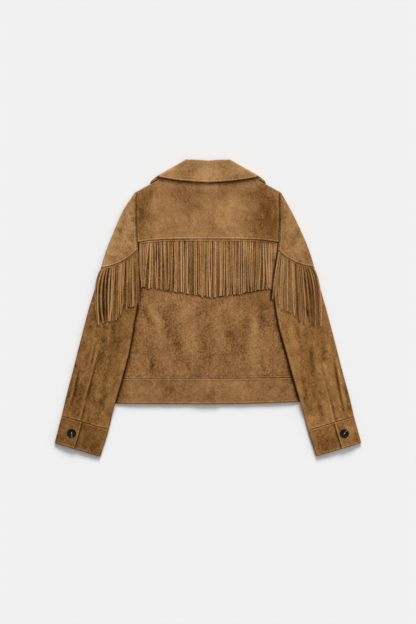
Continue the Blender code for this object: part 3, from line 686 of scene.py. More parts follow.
u, v = np.meshgrid(edged(460.0, 3.0), edged(62.0, 2.6))
x = mix(-body_half(HEM_Y), body_half(HEM_Y), u)
y = mix(hem_y(x), waist_y(x) - SEAM / 2, v)
waistband_back = lying_cloth("waistband_back_cloth", x, y, back_low, BAND, band_relief(x, y, 21))
sew_in(waistband_back, BAND_SUEDE)
for side, sign in SIDES.items():
    u, v = np.meshgrid(edged(244.0, 5.0), edged(62.0, 4.0))
    x = mix(-LAP_HALF, body_half(HEM_Y), u) * sign
    y = mix(hem_y(x), waist_y(x) - SEAM / 2, v)
    band = lying_cloth(f"waistband_front_{side}_cloth", x, y, lambda x, y: front_low(x, y, sign), BAND,
                       0.0 * x, inner_tone=tone_of(band_relief(x, y, 23)))
    sew_in(band, BAND_SUEDE)

# ---- The back yoke ---------------------------------------------------------------------------------------
# One wide piece of suede from armhole to armhole and up to the neck. Its lower edge is turned in and
# topstitched over the back and over the head of the fringe.
# The yoke's mean colour, lighter than the back's, is partly painted light.
YOKE_SUEDE = suede("yoke_suede", (0.325, 0.163, 0.060), turn=-0.35, blotch=0.6, fine=0.85)
ARMHOLE_STEPS = np.linspace(ARMHOLE_FOOT_Y, SHOULDER_Y, 9)
ARMHOLE_UP = line_of(body_half(ARMHOLE_STEPS), ARMHOLE_STEPS)


def yoke_relief(x, y):
    to_edge, to_arm = y - yoke_y(x), away_from(ARMHOLE_UP, np.abs(x), y)
    return (beside_seam(to_edge, ridge=0.95, groove=0.2, ridge_at=2.4)
            + stitch_groove(to_edge) + 0.25 * bell((to_edge - 7.2) / 1.6)
            + beside_seam(to_arm, ridge=0.3, groove=0.9, ridge_at=3.4)
            + pucker(x, y, 31, to_edge, reach=9.0) + pucker(x, y, 32, to_arm, reach=10.0, amount=0.2))


def yoke_plan(u, v):
    width = mix(-SHOULDER_HALF, SHOULDER_HALF, u)
    side_share = smooth((np.abs(width) - NECK_HALF) / (SHOULDER_HALF - NECK_HALF))
    y = mix(yoke_y(width), back_top_y(width), v)
    x = width * mix(1.0, (body_half(y) - 0.1) / SHOULDER_HALF, side_share)
    return x, mix(yoke_y(x) + SEAM, back_top_y(width), v)


u, v = np.meshgrid(edged(345.0, 2.8), edged(155.0, 2.8))
x, y = yoke_plan(u, v)
back_yoke = lying_cloth("back_yoke_cloth", x, y, back_low, SUEDE, yoke_relief(x, y))

# ---- The sleeves -----------------------------------------------------------------------------------------
# Each sleeve is a suede yoke at the shoulder and, below its arched seam, an upper and an under sleeve
# joined by a back seam and a front seam. They lie flattened, with their inner edges over the body.
SLEEVE_HIGH = 6.2
CUFF_SECTION = 9.0
CUFF_HEM_SECTION = 10.0
BACK_SEAM = 0.60
FRONT_SEAM = 2.74
ON_ARMHOLE, UNDER_ARMHOLE = -1.0, 5.0

# Sleeve sections, shoulder to cuff hem: outer fold x and y, inner fold x and y, for each sleeve.
SLEEVE_ROWS = [("section", "left outer x", "left outer y", "left inner x", "left inner y",
                "right outer x", "right outer y", "right inner x", "right inner y"),
               (0, 174.6, 278.8, 172.6, 276.0, 174.6, 278.8, 172.6, 276.0),
               (1, 204.0, 234.0, 172.6, 225.6, 202.0, 230.0, 172.6, 220.0),
               (2, 228.0, 180.0, 170.4, 163.2, 227.0, 178.0, 170.4, 160.0),
               (3, 248.5, 127.0, 164.4, 108.0, 247.0, 127.0, 164.4, 108.0),
               (4, 264.5, 69.6, 165.0, 43.2, 262.5, 73.0, 158.5, 43.2),
               (5, 286.0, 0.0, 176.0, -27.6, 283.5, 0.0, 167.0, -28.8),
               (6, 306.0, -76.8, 189.6, -105.6, 304.0, -76.8, 186.0, -101.0),
               (7, 325.5, -153.6, 210.0, -182.4, 323.5, -153.6, 208.5, -182.4),
               (8, 340.5, -211.2, 226.0, -240.0, 339.5, -211.2, 225.5, -240.0),
               (9, 352.0, -259.5, 238.5, -293.0, 351.0, -260.5, 240.0, -295.0),
               (10, 368.5, -324.0, 259.0, -357.5, 368.5, -324.0, 260.0, -356.5)]


# Millimetres to a whole section and to a whole turn of the sleeve, where each is used.
SECTION_MM, TURN_MM = 78.0, 110.0
YOKE_SECTION_MM, YOKE_TURN_MM = 60.0, 70.0
SEAM_TURN_MM, WRIST_SECTION_MM = 105.0, 52.0
CUFF_SECTION_MM, CUFF_TURN_MM = 66.0, 112.0


def sleeve_fold(side, edge, section):
    """Plan places of the sleeve's outer or inner fold at sections, on the positive side of x."""
    plan = path_of(SLEEVE_ROWS, f"{side} {edge}", section)
    if edge == "inner":
        x, y = plan[..., 0], plan[..., 1]
        plan[..., 0] = np.where(y > ARMHOLE_FOOT_Y, body_half(y), x)
    return plan


def sleeve_yoke_section(turn):
    """Section of the sleeve's yoke seam at a turn of the sleeve: an arch, lowest at the outer fold."""
    share = np.where(turn < 2.0, np.clip(turn, 0.0, 1.0), np.maximum(3.0 - turn, 0.0))
    return 2.43 + 1.6 * share - 0.5 * share * share


def sleeve_point(side, section, turn, high, thick, crown=1.5):
    """Outside and inside of a flattened sleeve, before it settles.

    turn 0 to 1 is the upper layer from the inner fold out, 1 to 2 the outer fold, 2 to 3 the under
    layer back in, and 3 to 4 the inner fold; outside 0 to 4 it is sewn to the armhole.
    """
    outer, inner = sleeve_fold(side, "outer", section), sleeve_fold(side, "inner", section)
    across = outer - inner
    span = np.linalg.norm(across, axis=-1, keepdims=True)
    across = across / span
    high = high * mix(0.42, 1.0, smooth(section / 0.4))
    radius = high / 2.0
    inset = np.minimum(radius[..., None], 0.4 * span)
    start, end = inner + across * inset, outer - across * inset
    on_hole, under_hole = turn == ON_ARMHOLE, turn == UNDER_ARMHOLE
    bend_out, bend_in = math.pi * (turn - 1.5), math.pi * (turn - 3.5)
    parts = [on_hole | under_hole, turn <= 1.0, turn <= 2.0, turn <= 3.0, turn > 3.0]

    def flat(share):
        return start + (end - start) * share[..., None]

    plan = np.select([part[..., None] for part in parts],
                     [inner + across * 0.15, flat(turn), end + across * inset * np.cos(bend_out)[..., None],
                      flat(3.0 - turn), start - across * inset * np.cos(bend_in)[..., None]])
    z = np.select(parts, [np.where(on_hole, high, 0.0), high + 0.0 * turn,
                          radius - radius * np.sin(bend_out), 0.0 * turn,
                          radius + radius * np.sin(bend_in)])
    facing_up = np.select(parts, [np.where(on_hole, 1.0, -1.0), np.ones_like(turn), -np.sin(bend_out),
                                  -np.ones_like(turn), np.sin(bend_in)])
    facing_out = np.select(parts, [0.0 * turn, 0.0 * turn, np.cos(bend_out), 0.0 * turn, -np.cos(bend_in)])
    share = np.clip(np.where(on_hole, 0.0, turn), 0.0, 1.0)
    z = z + crown * smooth(section / 0.4) * np.sin(math.pi * share) ** 0.7 * (turn <= 1.0)
    inside_plan = plan - across * (facing_out * thick)[..., None]
    faces = []
    for place, height in ((plan, z), (inside_plan, z - facing_up * thick)):
        x = place[..., 0] * SIDES[side]
        faces.append(np.stack([x, place[..., 1], height + ride_height(x, place[..., 1])], -1))
    return faces


def sleeve_cloth(name, side, turn, section, rise, high=SLEEVE_HIGH, thick=SUEDE, lift=0.0, shade=0.0):
    """Piece of a sleeve: its outside and inside, settled, its outside raised by the relief beside seams."""
    outer, inner = sleeve_point(side, section, turn, high, thick)
    outer[..., 2] += lift
    inner[..., 2] += lift
    outer, inner = settled(outer), settled(inner)
    facing = np.where(turn <= 1.0, 1.0, np.where(turn <= 2.0, np.cos(math.pi * (turn - 1.0)), 0.0))
    outer[..., 2] += rise * np.clip(facing, 0.0, 1.0)
    # The sleeve's tone is lighter along its folded edges, below the cap's seam.
    edge_tone = np.exp(-np.abs((turn + 0.5) % 2.0 - 0.5) / 0.035) * (section > sleeve_yoke_section(turn))
    # shade is painted shadow, taken off the tone.
    return cloth_mesh(name, outer, inner, tone_of(rise) + 0.3 * edge_tone - shade)


def around_sleeve(start, end):
    """Stations round a sleeve: about every 3 mm where it is flat, fine round its folds."""
    stops = [t for t in (0.0, 1.0, 2.0, 3.0, 4.0, 5.0) if start < t < end]
    places = [start] + stops + [end]
    found = []
    for a, b in zip(places, places[1:]):
        folding = int((a + b) / 2.0) % 4 in (1, 3)
        found += list(np.linspace(a, b, max(int((b - a) * (10 if folding else 52)), 3) + 1)[:-1])
    return np.array(found + [end])


def around_part(first, last, near, clear):
    """Stations round part of a sleeve, close together at its two ends."""
    near, stations = np.array(near), around_sleeve(first, last)
    between = stations[(stations > first + clear) & (stations < last - clear)]
    return np.concatenate([first + near, between, last - near[::-1]])


def once_round(turn):
    """The same places with turns of 4 to 5 as 0 to 1."""
    return np.where(turn > 4.0, turn - 4.0, turn)


def arm_seam_relief(away, ridge=0.5):
    return beside_seam(away, ridge=ridge, groove=0.7, ridge_at=2.6)


# The sleeves' and caps' mean colours are partly painted light: the caps lighter, the left sleeve darker
# than the right.
SLEEVE_SUEDES = {
    "left": suede("sleeve_left_suede", (0.212, 0.098, 0.027), turn=0.35, blotch=1.25, fine=1.5),
    "right": suede("sleeve_right_suede", (0.262, 0.124, 0.037), turn=-0.35, blotch=1.1, fine=1.1)}
SHOULDER_SUEDES = {"left": suede("shoulder_left_suede", (0.362, 0.196, 0.076), turn=-0.6, blotch=1.0),
                   "right": suede("shoulder_right_suede", (0.310, 0.160, 0.058), turn=0.4, blotch=1.0)}
for side, sign in SIDES.items():
    around = np.concatenate([[ON_ARMHOLE], around_sleeve(0.0, 3.0), [UNDER_ARMHOLE]])
    turn, v = np.meshgrid(around, edged(190.0, 3.0))
    seam = sleeve_yoke_section(turn) - 0.005
    section = seam * v
    to_seam, to_hole = (seam - section) * YOKE_SECTION_MM, np.clip(turn, 0.0, 1.0) * YOKE_TURN_MM
    rise = (beside_seam(to_seam, ridge=0.8, groove=0.3, ridge_at=2.6) + arm_seam_relief(to_hole, 0.7)
            + stitch_groove(to_seam))
    cap = sleeve_cloth(f"sleeve_yoke_{side}_cloth", side, turn, section, rise)
    sew_in(cap, SHOULDER_SUEDES[side])
    for part, first, last in (("top", BACK_SEAM + 0.0015, FRONT_SEAM - 0.0015),
                              ("under", FRONT_SEAM + 0.0015, 4.0 + BACK_SEAM - 0.0015)):
        stations = around_part(first, last, [0.0, 0.004, 0.009, 0.016, 0.025, 0.037, 0.052], 0.06)
        turn, v = np.meshgrid(stations, edged(430.0, 3.0))
        around = once_round(turn)
        seam = sleeve_yoke_section(np.where(around < 3.0, around, 0.0)) + 0.005
        section = mix(seam, CUFF_SECTION - 0.0015, v)
        to_back = np.abs(around - BACK_SEAM) * SEAM_TURN_MM
        to_cuff = (CUFF_SECTION - section) * WRIST_SECTION_MM
        from_yoke = (section - seam) * YOKE_SECTION_MM
        strength = smooth((section - (5.6 if sign < 0 else 6.9)) / 1.2)
        ridged = "top" if sign < 0 else "under"
        shape = (0.85, 0.5, 3.2, 3.0) if part == ridged else (-0.75, 0.6, 2.6, 2.4)
        down, across = section * SECTION_MM, turn * TURN_MM
        rise = (beside_seam(to_back, *shape) * (0.1 + 0.9 * strength)
                + arm_seam_relief(to_cuff) + arm_seam_relief(from_yoke, 0.1)
                + pucker(down, across, 41, to_back, reach=9.0)
                + pucker(down, across, 42, to_cuff, reach=14.0, amount=0.4, wave=14.0))
        arm = sleeve_cloth(f"sleeve_{part}_{side}_cloth", side, around, section, rise)
        sew_in(arm, SLEEVE_SUEDES[side])

# Painted shade on the body beside the sleeves' inner folds and in the groove of the stitching above the
# waistband, and painted shadow on the yoke at the armholes, darker on the right.
side_backs = [cloth(f"back_side_{side}") for side in SIDES]
for side, sign in SIDES.items():
    inner_fold = sleeve_fold(side, "inner", np.linspace(2.0, 8.4, 34)) * (sign, 1)
    darken_along((back_centre, waistband_back, *side_backs), inner_fold, (1.15, 4.2), (0.25, 11.0))
for piece in (back_centre, *side_backs):
    darken(piece, lambda x, y: 0.45 * bell((y - waist_y(x) - WAIST_STITCH) / 1.1))
darken(back_yoke, lambda x, y: np.where(x > 0.0, 0.6, 0.25)
       * bell(away_from(ARMHOLE_UP, np.abs(x), y) / 2.6))

# ---- The cuffs -------------------------------------------------------------------------------------------
# A straight doubled suede cuff, topstitched all round. Its upper end laps over its under end on the back
# of the wrist and is held there by one button.
CUFF = 1.8
CUFF_HIGH = 7.0
CUFF_LAP = 0.57
CUFF_UNDERLAP = 0.76
CUFF_LAP_LIFT = 2.4
FAR = 99.0                 # too far from a seam to matter
# The cuffs' mean colours, the darkest, are partly painted shade, the left darker than the right.
CUFF_SUEDES = {"left": suede("cuff_left_suede", (0.182, 0.083, 0.0215), turn=0.3, blotch=1.0, fine=1.4),
               "right": suede("cuff_right_suede", (0.232, 0.109, 0.032), turn=-0.3, blotch=0.9, fine=1.4)}


def cuff_lift(turn, over):
    """How far the cuff's upper end is raised over its under end."""
    raised = CUFF_LAP_LIFT * smooth((1.0 - turn) / (1.0 - CUFF_UNDERLAP))
    return np.where(over & (turn <= 1.0), raised, 0.0)


def cuff_relief(section, turn, over):
    to_sleeve = (section - CUFF_SECTION) * CUFF_SECTION_MM
    to_hem = (CUFF_HEM_SECTION - section) * CUFF_SECTION_MM
    to_lap = np.where(over, np.abs(turn - CUFF_LAP) * CUFF_TURN_MM, FAR)
    return (beside_seam(to_sleeve, ridge=0.8, groove=0.2) + beside_seam(to_hem, ridge=0.7, groove=0.4)
            + beside_seam(to_lap, ridge=1.3, groove=0.1, ridge_at=2.0) + stitch_groove(to_sleeve)
            + stitch_groove(to_hem) + stitch_groove(to_lap)
            + pucker(section * SECTION_MM, turn * TURN_MM, 51, to_hem, reach=10.0, amount=0.3))


for side, sign in SIDES.items():
    stations = around_part(CUFF_LAP, 4.0 + CUFF_UNDERLAP,
                           [0.0, 0.004, 0.009, 0.015, 0.022, 0.032, 0.045], 0.05)
    turn, v = np.meshgrid(stations, edged(68.0, 2.4))
    over = turn < 3.0
    around = once_round(turn)
    section = mix(CUFF_SECTION + 0.0015, CUFF_HEM_SECTION, v)
    # The under end takes painted shadow beside the upper end's lapped edge.
    cuff = sleeve_cloth(f"cuff_{side}_cloth", side, around, section, cuff_relief(section, around, over),
                        high=CUFF_HIGH, thick=CUFF, lift=cuff_lift(around, over),
                        shade=np.where(over, 0.0, 0.7 * bell((CUFF_LAP - around) * CUFF_TURN_MM / 3.0)))
    sew_in(cuff, CUFF_SUEDES[side])

# ---- The collar ------------------------------------------------------------------------------------------
# A shirt collar: a doubled suede leaf that falls over the yoke behind and turns under to two points in
# front, on a narrow doubled stand sewn to the neck. The leaf's edge is topstitched and stands a little off.
COLLAR_ROWS = [("place", "roll x", "roll y", "edge x", "edge y", "neck x"),
               (0.0, 0.0, 353.0, 0.0, 301.0, 0.0),
               (1.0, 24.0, 355.0, 58.0, 305.0, 30.0),
               (2.0, 42.0, 356.0, 100.0, 311.0, 62.0),
               (3.0, 46.5, 355.0, 114.0, 313.5, 79.0),
               (4.0, 48.0, 354.0, 118.5, 313.0, 81.5),
               (5.0, 47.5, 352.0, 130.0, 310.6, 80.5),
               (6.0, 45.0, 344.0, 139.0, 298.5, 76.0),
               (7.0, 31.0, 316.0, 136.0, 262.0, 52.0),
               (8.0, 6.0, 269.0, 78.0, 222.0, 8.0)]
COLLAR_MID = 4.8
STAND_OUT = 1.2
LEAF_OUT = 3.8
STAND_TOP = 8.0
NECK_CLEAR = 2.6
LEAF_LIFT = 2.4            # how far the leaf's edge stands off the yoke
COLLAR_STITCH = 6.0        # from the leaf's edge to its topstitching
# Leaf from the roll to its edge: distance from the roll, share of the way out.
ROLL_BEND = [(0.0, 3.2, 0.0), (1.0, 1.1, 0.12), (2.0, 0.0, 0.45), (3.0, 1.1, 0.85), (4.0, 4.0, 1.0)]


def collar_frame(signed):
    """Roll and leaf edge in plan, neck seam x, the way out of the collar, and the side, at places."""
    place, sign = np.abs(signed), np.where(signed < 0, -1.0, 1.0)
    roll, edge = (path_of(COLLAR_ROWS, name, place) for name in ("roll", "edge"))
    turn = math.pi * np.clip((place - 3.0) / 2.0, 0.0, 1.0)
    out = np.stack([0.541 * np.sin(turn), 0.841 * np.sin(turn), np.cos(turn)], -1)
    return roll, edge, read_off(column(COLLAR_ROWS, "neck x"), place), out, turn, sign


def on_collar(flat, out, distance, sign):
    point = np.concatenate([flat, np.full_like(flat[..., :1], COLLAR_MID)], -1) + out * distance[..., None]
    point[..., 0] *= sign
    return point


# The collar's mean colour, the lightest, is partly painted light.
COLLAR_SUEDE = suede("collar_suede", (0.355, 0.186, 0.073), turn=1.4, blotch=0.6, fine=0.85)
half_places = np.concatenate([np.linspace(0.0, 3.0, 60), np.linspace(3.0, 5.0, 26)[1:],
                              np.linspace(5.0, 8.0, 70)[1:]])
half_places = np.concatenate([half_places[:-1], 8.0 - np.array([0.02, 0.01, 0.0])])
places = np.concatenate([-half_places[:0:-1], half_places])
bend = np.linspace(0.0, 4.0, 17)
fall = edged(56.0, 2.4)
fall = fall[fall > 0.02]
rows = np.concatenate([bend, 4.0 + fall])
signed, row = np.meshgrid(places, rows)
roll, edge, _, out, turn, sign = collar_frame(signed)
reach = np.linalg.norm(edge - roll, axis=-1)
down = towards(roll, edge)
bending = [(r[0], r[1]) for r in ROLL_BEND], [(r[0], r[2]) for r in ROLL_BEND]
along = np.where(row <= 4.0, read_off(bending[0], row), mix(4.0, reach, np.clip(row - 4.0, 0.0, 1.0)))
outward = mix(0.8, LEAF_OUT, np.where(row <= 4.0, read_off(bending[1], row), 1.0))
step_along, step_out = np.gradient(along, axis=0), np.gradient(outward, axis=0)
size = np.hypot(step_along, step_out)
normal_along, normal_out = -step_out / size, step_along / size
to_edge = reach - along
upper = np.clip(1.0 - turn / math.pi * 1.6, 0.0, 1.0)
lifted = LEAF_LIFT * smooth((along - 20.0) / 34.0) ** 1.4 * upper
rise = (beside_seam(to_edge, ridge=0.6, groove=0.5, ridge_at=2.8) + stitch_groove(to_edge, COLLAR_STITCH)
        + pucker(signed * 40.0, along, 61, to_edge, reach=8.0, amount=0.2)) * upper
half_thick = COLLAR / 2.0
faces = []
for way, extra in ((1.0, rise), (-1.0, 0.0)):
    plan = roll + down * (along + way * half_thick * normal_along)[..., None]
    faces.append(on_collar(plan, out, outward + lifted + way * half_thick * normal_out + extra, sign))
leaf_outer, leaf_inner = faces
collar_leaf = cloth_mesh("collar_leaf_cloth", settled(leaf_outer), settled(leaf_inner), tone_of(rise),
                         inner_tone=0.45)
sew_in(collar_leaf, COLLAR_SUEDE)

# Painted shade on the leaf where it turns under past the shoulders, a thin lighter line along the yoke's
# shoulder edge, and a painted shadow on the yoke under the leaf's edge.
leaf_edge = line_of(*collar_frame(np.linspace(0.0, 4.6, 30))[1].T)
darken(collar_leaf, lambda x, y: np.where(np.abs(x) > 119.0, 1.4, 0.0)
       * bell(away_from(SHOULDER_LINE, np.abs(x), y) / 3.0))
darken(back_yoke, lambda x, y: -0.35 * bell((away_from(SHOULDER_LINE, np.abs(x), y) - 1.5) / 1.2))
darken_along([back_yoke], leaf_edge, (0.8, 3.0), both_sides=True)

signed, row = np.meshgrid(places, np.linspace(0.0, 1.0, 12))
roll, edge, neck_x, out, turn, sign = collar_frame(signed)
under = smooth((turn / math.pi - 0.83) / 0.17)
neck = line_of(neck_x, mix(back_neck_y(neck_x) + 2.0 * SEAM, front_neck_y(neck_x) + NECK_CLEAR, under))
down = towards(roll, edge)
top = roll + down * STAND_TOP
plan = top + (neck - top) * row[..., None]
stand = cloth_mesh("collar_stand_cloth",
                   settled(on_collar(plan, out, np.full_like(row, STAND_OUT + half_thick), sign)),
                   settled(on_collar(plan, out, np.full_like(row, STAND_OUT - half_thick), sign)),
                   np.full_like(row, 0.5))
sew_in(stand, COLLAR_SUEDE)

# ---- The fringes -----------------------------------------------------------------------------------------
# Strips of suede caught in the back yoke's seam and in the sleeves' yoke seams, cut into strands about
# 5 mm wide up to a narrow uncut head. The strands hang straight, twist a little and lie over each other.
HEAD = 4.0


def strand_tree():
    """Sweeps a flattened oval along lines, which hold its half width, twist, tone and a painted lighter
    side.
    """
    tree = bpy.data.node_groups.new("suede_strands", "GeometryNodeTree")
    given, out = with_sockets(tree, [("Lines", "Geometry"), ("Flatness", "Float", 0.3), ("Sides", "Int", 8),
                                     ("Material", "Material")], [("Strands", "Geometry")])
    curve, upright, tilt = new_nodes(tree, "GeometryNodeMeshToCurve", "GeometryNodeSetCurveNormal",
                                     "GeometryNodeSetCurveTilt")
    circle, flatten, scale = new_nodes(tree, "GeometryNodeCurvePrimitiveCircle", "GeometryNodeTransform",
                                       "ShaderNodeCombineXYZ")
    place, split, edge_shade, sum_shade = new_nodes(tree, "GeometryNodeInputPosition",
                                                    "ShaderNodeSeparateXYZ", "ShaderNodeMath",
                                                    "ShaderNodeMath")
    lean, sweep, shaded = new_nodes(tree, "GeometryNodeStoreNamedAttribute", "GeometryNodeCurveToMesh",
                                    "GeometryNodeStoreNamedAttribute")
    even, real, finish = new_nodes(tree, "GeometryNodeSetShadeSmooth", "GeometryNodeRealizeInstances",
                                   "GeometryNodeSetMaterial")
    upright.mode, edge_shade.operation = "Z_UP", "MULTIPLY"
    set_inputs(circle, Radius=1.0)
    set_inputs(scale, X=1.0, Z=1.0)
    set_inputs(sweep, Fill_Caps=True)
    # edge_shade and sum_shade add the painted light across each strand to its tone.
    for name, node, key in (("half_width", sweep, "Scale"), ("twist", tilt, "Tilt"),
                            ("across", edge_shade, 0), ("painted_light_side", edge_shade, 1),
                            ("tone", sum_shade, 0)):
        read = tree.nodes.new("GeometryNodeInputNamedAttribute")
        read.data_type = "FLOAT"
        set_inputs(read, Name=name)
        join_up(tree, (read, "Attribute", node, key))
    for node, name in ((lean, "across"), (shaded, "tone")):
        node.data_type, node.domain = "FLOAT", "POINT"
        set_inputs(node, Name=name)
    join_up(tree, (given, "Lines", curve, "Mesh"), (curve, "Curve", upright, "Curve"),
            (upright, "Curve", tilt, "Curve"), (tilt, "Curve", sweep, "Curve"),
            (given, "Sides", circle, "Resolution"), (given, "Flatness", scale, "Y"),
            (circle, "Curve", flatten, "Geometry"), (scale, "Vector", flatten, "Scale"),
            (place, "Position", split, "Vector"), (flatten, "Geometry", lean, "Geometry"),
            (split, "X", lean, "Value"), (lean, "Geometry", sweep, "Profile Curve"),
            (edge_shade, "Value", sum_shade, 1), (sweep, "Mesh", shaded, "Geometry"),
            (sum_shade, "Value", shaded, "Value"), (shaded, "Geometry", even, "Geometry"),
            (even, "Geometry", real, "Geometry"), (real, "Geometry", finish, "Geometry"),
            (given, "Material", finish, "Material"), (finish, "Geometry", out, "Strands"))
    return tree


def line_mesh(name, lines, attributes=None):
    """Mesh of loose lines of points in mm, with named values at its points."""
    points = np.concatenate(lines) * MM
    starts = np.cumsum([0] + [len(line) for line in lines])
    edges = [(i, i + 1) for a, b in zip(starts, starts[1:]) for i in range(a, b - 1)]
    mesh = bpy.data.meshes.new(name)
    mesh.from_pydata(points.tolist(), edges, [])
    for key, values in (attributes or {}).items():
        data = np.concatenate(values).astype(np.float32)
        mesh.attributes.new(key, "FLOAT", "POINT").data.foreach_set("value", data)
    return put_in(name, mesh)


def grown(piece, tree, settings):
    """Runs a Geometry Nodes tree on a piece and keeps the result as its plain mesh."""
    modifier = piece.modifiers.new(tree.name, "NODES")
    modifier.node_group = tree
    for item in tree.interface.items_tree:
        if item.item_type == "SOCKET" and item.in_out == "INPUT" and item.name in settings:
            modifier[item.identifier] = settings[item.name]
    bpy.context.view_layer.update()
    shown = piece.evaluated_get(bpy.context.evaluated_depsgraph_get())
    mesh = bpy.data.meshes.new_from_object(shown)
    piece.modifiers.remove(modifier)
    piece.data = mesh
    return piece


def top_of(*names):
    """Tree for finding how high the top of these cloths is at a place."""
    points, faces = [], []
    for name in names:
        start, mesh = len(points), cloth(name).data
        points += [tuple(vert.co) for vert in mesh.vertices]
        faces += [tuple(start + i for i in face.vertices) for face in mesh.polygons]
    return BVHTree.FromPolygons(points, faces)


def height_on(tree, x, y):
    """Heights in mm of the cloth under places, and of the ground where there is none."""
    found = []
    for px, py in zip(np.ravel(x), np.ravel(y)):
        hit = tree.ray_cast(Vector((px * MM, py * MM, 0.1)), Vector((0, 0, -1)))
        found.append(hit[0].z / MM if hit[0] else 0.0)
    return np.array(found).reshape(np.shape(x))


def draped(heights, slack=2):
    """Heights of a strand that spans small dips: the highest within reach, then evened out."""
    padded = np.pad(heights, slack, mode="edge")
    high = np.max([padded[i:i + len(heights)] for i in range(2 * slack + 1)], axis=0)
    padded = np.pad(high, slack, mode="edge")
    return np.mean([padded[i:i + len(heights)] for i in range(2 * slack + 1)], axis=0)


STRANDS = strand_tree()
FRINGE_SUEDE = suede("fringe_suede", (0.335, 0.170, 0.063), blotch=0.6)
SLEEVE_FRINGE_SUEDE = suede("sleeve_fringe_suede", (0.285, 0.143, 0.049), blotch=0.6)
rng = np.random.default_rng(17)


def make_strands(name, heads, ends, below, material, spread=1.0, bows=None, ease=1.0):
    """Strands from their heads to their ends, each with its own sway, twist, width, level and shade."""
    lines, widths, twists, tones, sides = [], [], [], [], []
    for index, (head, end) in enumerate(zip(heads, ends)):
        t = np.linspace(0.0, 1.0, 30)
        sway = rng.normal(0.0, 1.0) * spread * np.sin(t * math.pi * rng.uniform(0.8, 1.6)) * t
        curl = rng.normal(0.0, 1.3) * spread * np.clip(t - 0.72, 0.0, 1.0) ** 2 * 14.0
        x = mix(head[0], end[0], 1.0 - (1.0 - t) ** ease) + sway + curl
        if bows is not None:
            x = x + bows[index] * np.sin(math.pi * t ** 0.65)
        y = mix(head[1], end[1], t)
        level = 0.8 + (0.55 * (index * 2 % 3) + rng.uniform(-0.15, 0.35)) * smooth(t * 5.0)
        level = level + 0.5 * np.sin(t * rng.uniform(3, 7) + rng.uniform(0, 6)) * smooth(t * 3.0) * 0.6
        z = draped(height_on(below, x, y)) + level
        half = rng.uniform(1.9, 2.5) * (1.0 - 0.08 * t)
        twist = rng.normal(0.0, 0.4) * smooth(t * 2.0) + rng.normal(0.0, 0.3) * smooth((t - 0.5) * 2.0)
        z = z + np.abs(np.sin(twist)) * half * 0.7
        shade = 0.56 + rng.normal(0.0, 0.2) + 0.12 * np.sin(t * rng.uniform(2, 6) + rng.uniform(0, 6))
        lines.append(np.stack([x, y, z], -1))
        widths.append(half * MM)
        twists.append(twist)
        # Painted light across each strand, one edge lighter than the other, and painted shade on its top
        # sixth, below the seam it hangs from.
        sides.append(0.3 * np.sin(t * rng.uniform(1, 4) + rng.uniform(0, 6)) + rng.normal(0.15, 0.3))
        tones.append(shade - 0.10 * smooth(1.0 - t * 6.0))
    fringe = line_mesh(name, lines, {"half_width": widths, "twist": twists, "tone": tones,
                                     "painted_light_side": sides})
    return grown(fringe, STRANDS, {"Flatness": 0.24, "Sides": 8, "Material": material})


def with_head(fringe, outer, inner, tone):
    """Joins the fringe's uncut head to its strands."""
    head = cloth_mesh("head", outer, inner, tone)
    joined = bmesh.new()
    joined.from_mesh(fringe.data)
    joined.from_mesh(head.data)
    joined.to_mesh(fringe.data)
    joined.free()
    bpy.data.objects.remove(head)
    return fringe


def back_fringe_y(x):
    """Where the back fringe ends: a shallow V."""
    return 25.0 + 0.155 * np.abs(x - 12.0)


def under_yoke(v):
    """Share of shade on a fringe's head, from its foot at 0 to the yoke's edge at 1."""
    return bell((1.0 - v) * 3.7 / 1.3)


count = 64
head_x = np.linspace(-163.0, 164.0, count) + rng.normal(0.0, 0.25, count)
end_x = head_x * mix(1.0, np.where(head_x < 0, 0.99, 0.965), smooth((np.abs(head_x) - 58.0) / 100.0))
end_x = end_x + rng.normal(0.0, 0.9, count)
end_x = end_x - 10.0 * smooth((-128.0 - end_x) / 12.0) * smooth((end_x + 164.0) / 24.0)
end_x = end_x + 9.0 * smooth((end_x - 122.0) / 12.0) * smooth((160.0 - end_x) / 24.0)
end_y = back_fringe_y(end_x) + rng.normal(0.0, 1.4, count)
heads = line_of(head_x, yoke_y(head_x) - HEAD * 0.6)
ends = line_of(np.clip(end_x, -161.0, 156.0), end_y)
# Painted shade on the back under the fringe, and a painted shadow line along the strands' ends.
darken(back_centre, lambda x, y: 0.45 * smooth((y - back_fringe_y(x)) / 5.0 + 0.5)
       + 0.45 * bell((y - back_fringe_y(x) + 1.5) / 2.0))
fringe_back = make_strands("back_fringe_strands", heads, ends, top_of("back_centre"), FRINGE_SUEDE)
u, v = np.meshgrid(np.linspace(0.0, 1.0, 140), np.linspace(0.0, 1.0, 5))
x = mix(-162.5, 162.5, u)
y = mix(yoke_y(x) - HEAD, yoke_y(x) - 0.3, v)
top = settled(np.stack([x, y, back_top(x, y) + 2.1 - 0.9 * smooth(v * 1.3 - 0.3)], -1))
low = settled(np.stack([x, y, back_top(x, y) + 0.35], -1))
with_head(fringe_back, top, low, 0.5 - 0.7 * under_yoke(v))
sew_in(fringe_back, FRINGE_SUEDE, node="fringe_back")
sew_in(back_yoke, YOKE_SUEDE)

# Where the sleeve fringe ends: share from the inner fold to the outer one, x, y, each sleeve.
FRINGE_ENDS = [("share", "left x", "left y", "right x", "right y"),
               (0.00, 161.0, 10.0, 148.0, 22.0), (0.12, 174.0, 8.0, 168.0, 9.0),
               (0.45, 206.0, -16.0, 205.0, -17.0), (0.75, 236.0, -33.0, 241.0, -39.0),
               (1.00, 268.5, -43.0, 273.0, -46.0)]
SLEEVE_FRINGE_BOW = {"left": 11.5, "right": 9.0}        # how far the outmost strands bow outwards


